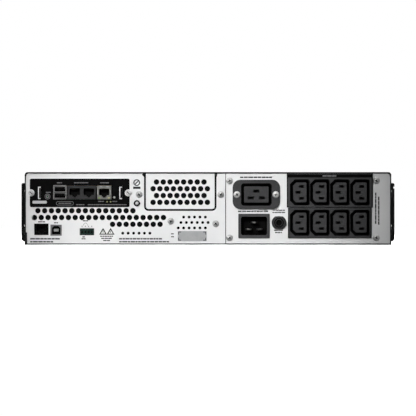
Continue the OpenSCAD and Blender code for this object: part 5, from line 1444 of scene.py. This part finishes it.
def build_capacitor_tops():
    """Scored metal tops on the large capacitors."""
    caps = Shape()
    score = [(-9, -0.4), (9, -0.4), (9, 0.4), (-9, 0.4)]
    for one in solids("capacitors"):
        at = (one.mid.x, one.mid.y, one.high.z)
        caps.lathe([(13.4, 0), (13.4, 0.15), (12.8, 0.25), (0.01, 0.25)], at, "+Z", 40)
        for k in range(3):
            caps.prism(rotated(score, k * math.pi / 3), 0.2, 0.4, "+Z", at)
    caps.piece("capacitor_tops", STEEL, "chassis", "capacitor_sleeve")


def build_power_transistors():
    """Transistors clamped along each heatsink."""
    packs, legs = Shape(), Shape()
    for sink in solids("heatsinks"):
        for k in range(6):
            y = sink.low.y + sink.size.y * (k + 0.5) / 6
            packs.block((sink.low.x - 4.8, y - 7.8, sink.low.z + 14),
                        (sink.low.x - 0.02, y + 7.8, sink.low.z + 34))
            for j in (-1, 0, 1):
                legs.block((sink.low.x - 2.9, y + j * 5.4 - 0.6, sink.low.z + 0.2),
                           (sink.low.x - 2.1, y + j * 5.4 + 0.6, sink.low.z + 14.2))
    packs.piece("power_transistors", BLACK, "chassis", "breaker_black", bevel=0.4)
    legs.piece("power_transistor_legs", TIN, "chassis", "pin_metal")


def build_choke_winding():
    """Copper turns round the power board's choke."""
    board = span("power_board")
    x, y, z = board.high.x - 42, board.low.y + 40, board.low.z + 19.3
    winding = Shape()
    for k in range(26):
        start = 2 * math.pi * k / 30 + 0.4
        loop = []
        for j in range(13):
            t = 2 * math.pi * j / 12
            r, a = 14.5 + 6.6 * math.cos(t), start + 0.06 * math.sin(t)
            loop.append((x + r * math.cos(a), y + r * math.sin(a), z + 9.9 * math.sin(t)))
        winding.tube(loop, 0.8, 6)
    winding.piece("choke_winding", COPPER, "chassis", "link_copper")


def build_control_chips():
    """Chips on the control board."""
    control = span("control_board")
    rear = span("rear_panel").low.y
    bodies, pins = Shape(), Shape()
    level = control.high.z - 2
    for dx, dy, w in ((20, 40, 18), (52, 34, 14), (30, 68, 12), (60, 66, 10)):
        low = (control.low.x + dx, rear + dy, level)
        chip(bodies, pins, Span(low, (low[0] + w, low[1] + w, level + 2)), level + 2.15, 12)
    bodies.piece("control_chips", BLACK, "chassis", "breaker_black", bevel=0.1)
    pins.piece("control_chip_legs", TIN, "chassis", "port_shell")


# ---------------------------------------------------------------- fan

def build_fan():
    """A rotor with curved blades, and the label on its hub."""
    rotor, housing = span("fan_rotor"), span("fan_frame")
    x, z = housing.mid.x, housing.mid.z
    y0, y1 = rotor.low.y, rotor.high.y - 4
    hub_r, tip_r = 17.5, rotor.size.z / 2
    shape = Shape()
    deep = y1 - y0
    shape.lathe([(0.01, -0.2), (hub_r - 2.2, -0.2), (hub_r - 0.6, 0.4), (hub_r, 1.4), (hub_r, deep),
                 (3.0, deep), (3.0, deep + 4), (0.01, deep + 4)], (x, y0, z), "+Y", 48)
    blades, rows, columns = 7, 7, 7
    for b in range(blades):
        skins = []
        for side in (-1, 1):
            grid = []
            for i in range(rows):
                share = i / (rows - 1)
                r = hub_r - 0.4 + (tip_r - hub_r + 0.2) * share
                line = []
                for j in range(columns):
                    along = j / (columns - 1)
                    sweep = math.radians(52 - 14 * share) * (along - 0.5) + math.radians(14) * share
                    a = 2 * math.pi * b / blades + sweep
                    camber = 1.6 * math.sin(math.pi * along)
                    y = y0 + 1.6 + (deep - 3.2) * along - camber + side * 0.55
                    line.append(Vector((x + r * math.cos(a), y, z + r * math.sin(a))))
                grid.append(line)
            skins.append(grid)
        made = [[[shape.mesh.verts.new(p) for p in line] for line in grid] for grid in skins]
        for grid in made:
            for i in range(rows - 1):
                for j in range(columns - 1):
                    shape.face([grid[i][j], grid[i][j + 1], grid[i + 1][j + 1], grid[i + 1][j]])
        rim = [(0, j) for j in range(columns)] + [(i, columns - 1) for i in range(1, rows)]
        rim += [(rows - 1, j) for j in reversed(range(columns - 1))]
        rim += [(i, 0) for i in reversed(range(1, rows - 1))]
        for k, (i, j) in enumerate(rim):
            i2, j2 = rim[(k + 1) % len(rim)]
            shape.face([made[0][i][j], made[0][i2][j2], made[1][i2][j2], made[1][i][j]])
    shape.piece("fan_rotor_blades", FAN, "fan_rotor", "fan_plastic", replaces=["fan_rotor"])
    label = Shape()
    label.lathe([(14.2, 0.2), (14.2, 0.32), (0.01, 0.32)], (x, y0, z), "-Y", 40)
    label.piece("fan_label", PLATE, "fan_rotor", "plate_metal")


build_stage()
build_camera()
for node_name, (node_look, edge) in FINISH.items():
    dress(node_name, node_look, edge)
build_screws()
build_thumbscrews()
build_ground_stud()
build_cover_trim()
build_vent_shade_sheets()
build_print()
build_rating_plate()
build_outlet_trim()
build_slot_shade_liners()
build_large_outlet()
build_inlet_pins()
build_breaker()
build_signal_ports()
build_card_ports()
build_card_lights()
build_card_print()
build_card_board()
build_fan()
build_batteries()
build_battery_wires()
build_drawer_front()
build_fascia()
build_display()
build_key_symbols()
build_transformer_parts()
build_capacitor_tops()
build_power_transistors()
build_choke_winding()
build_control_chips()
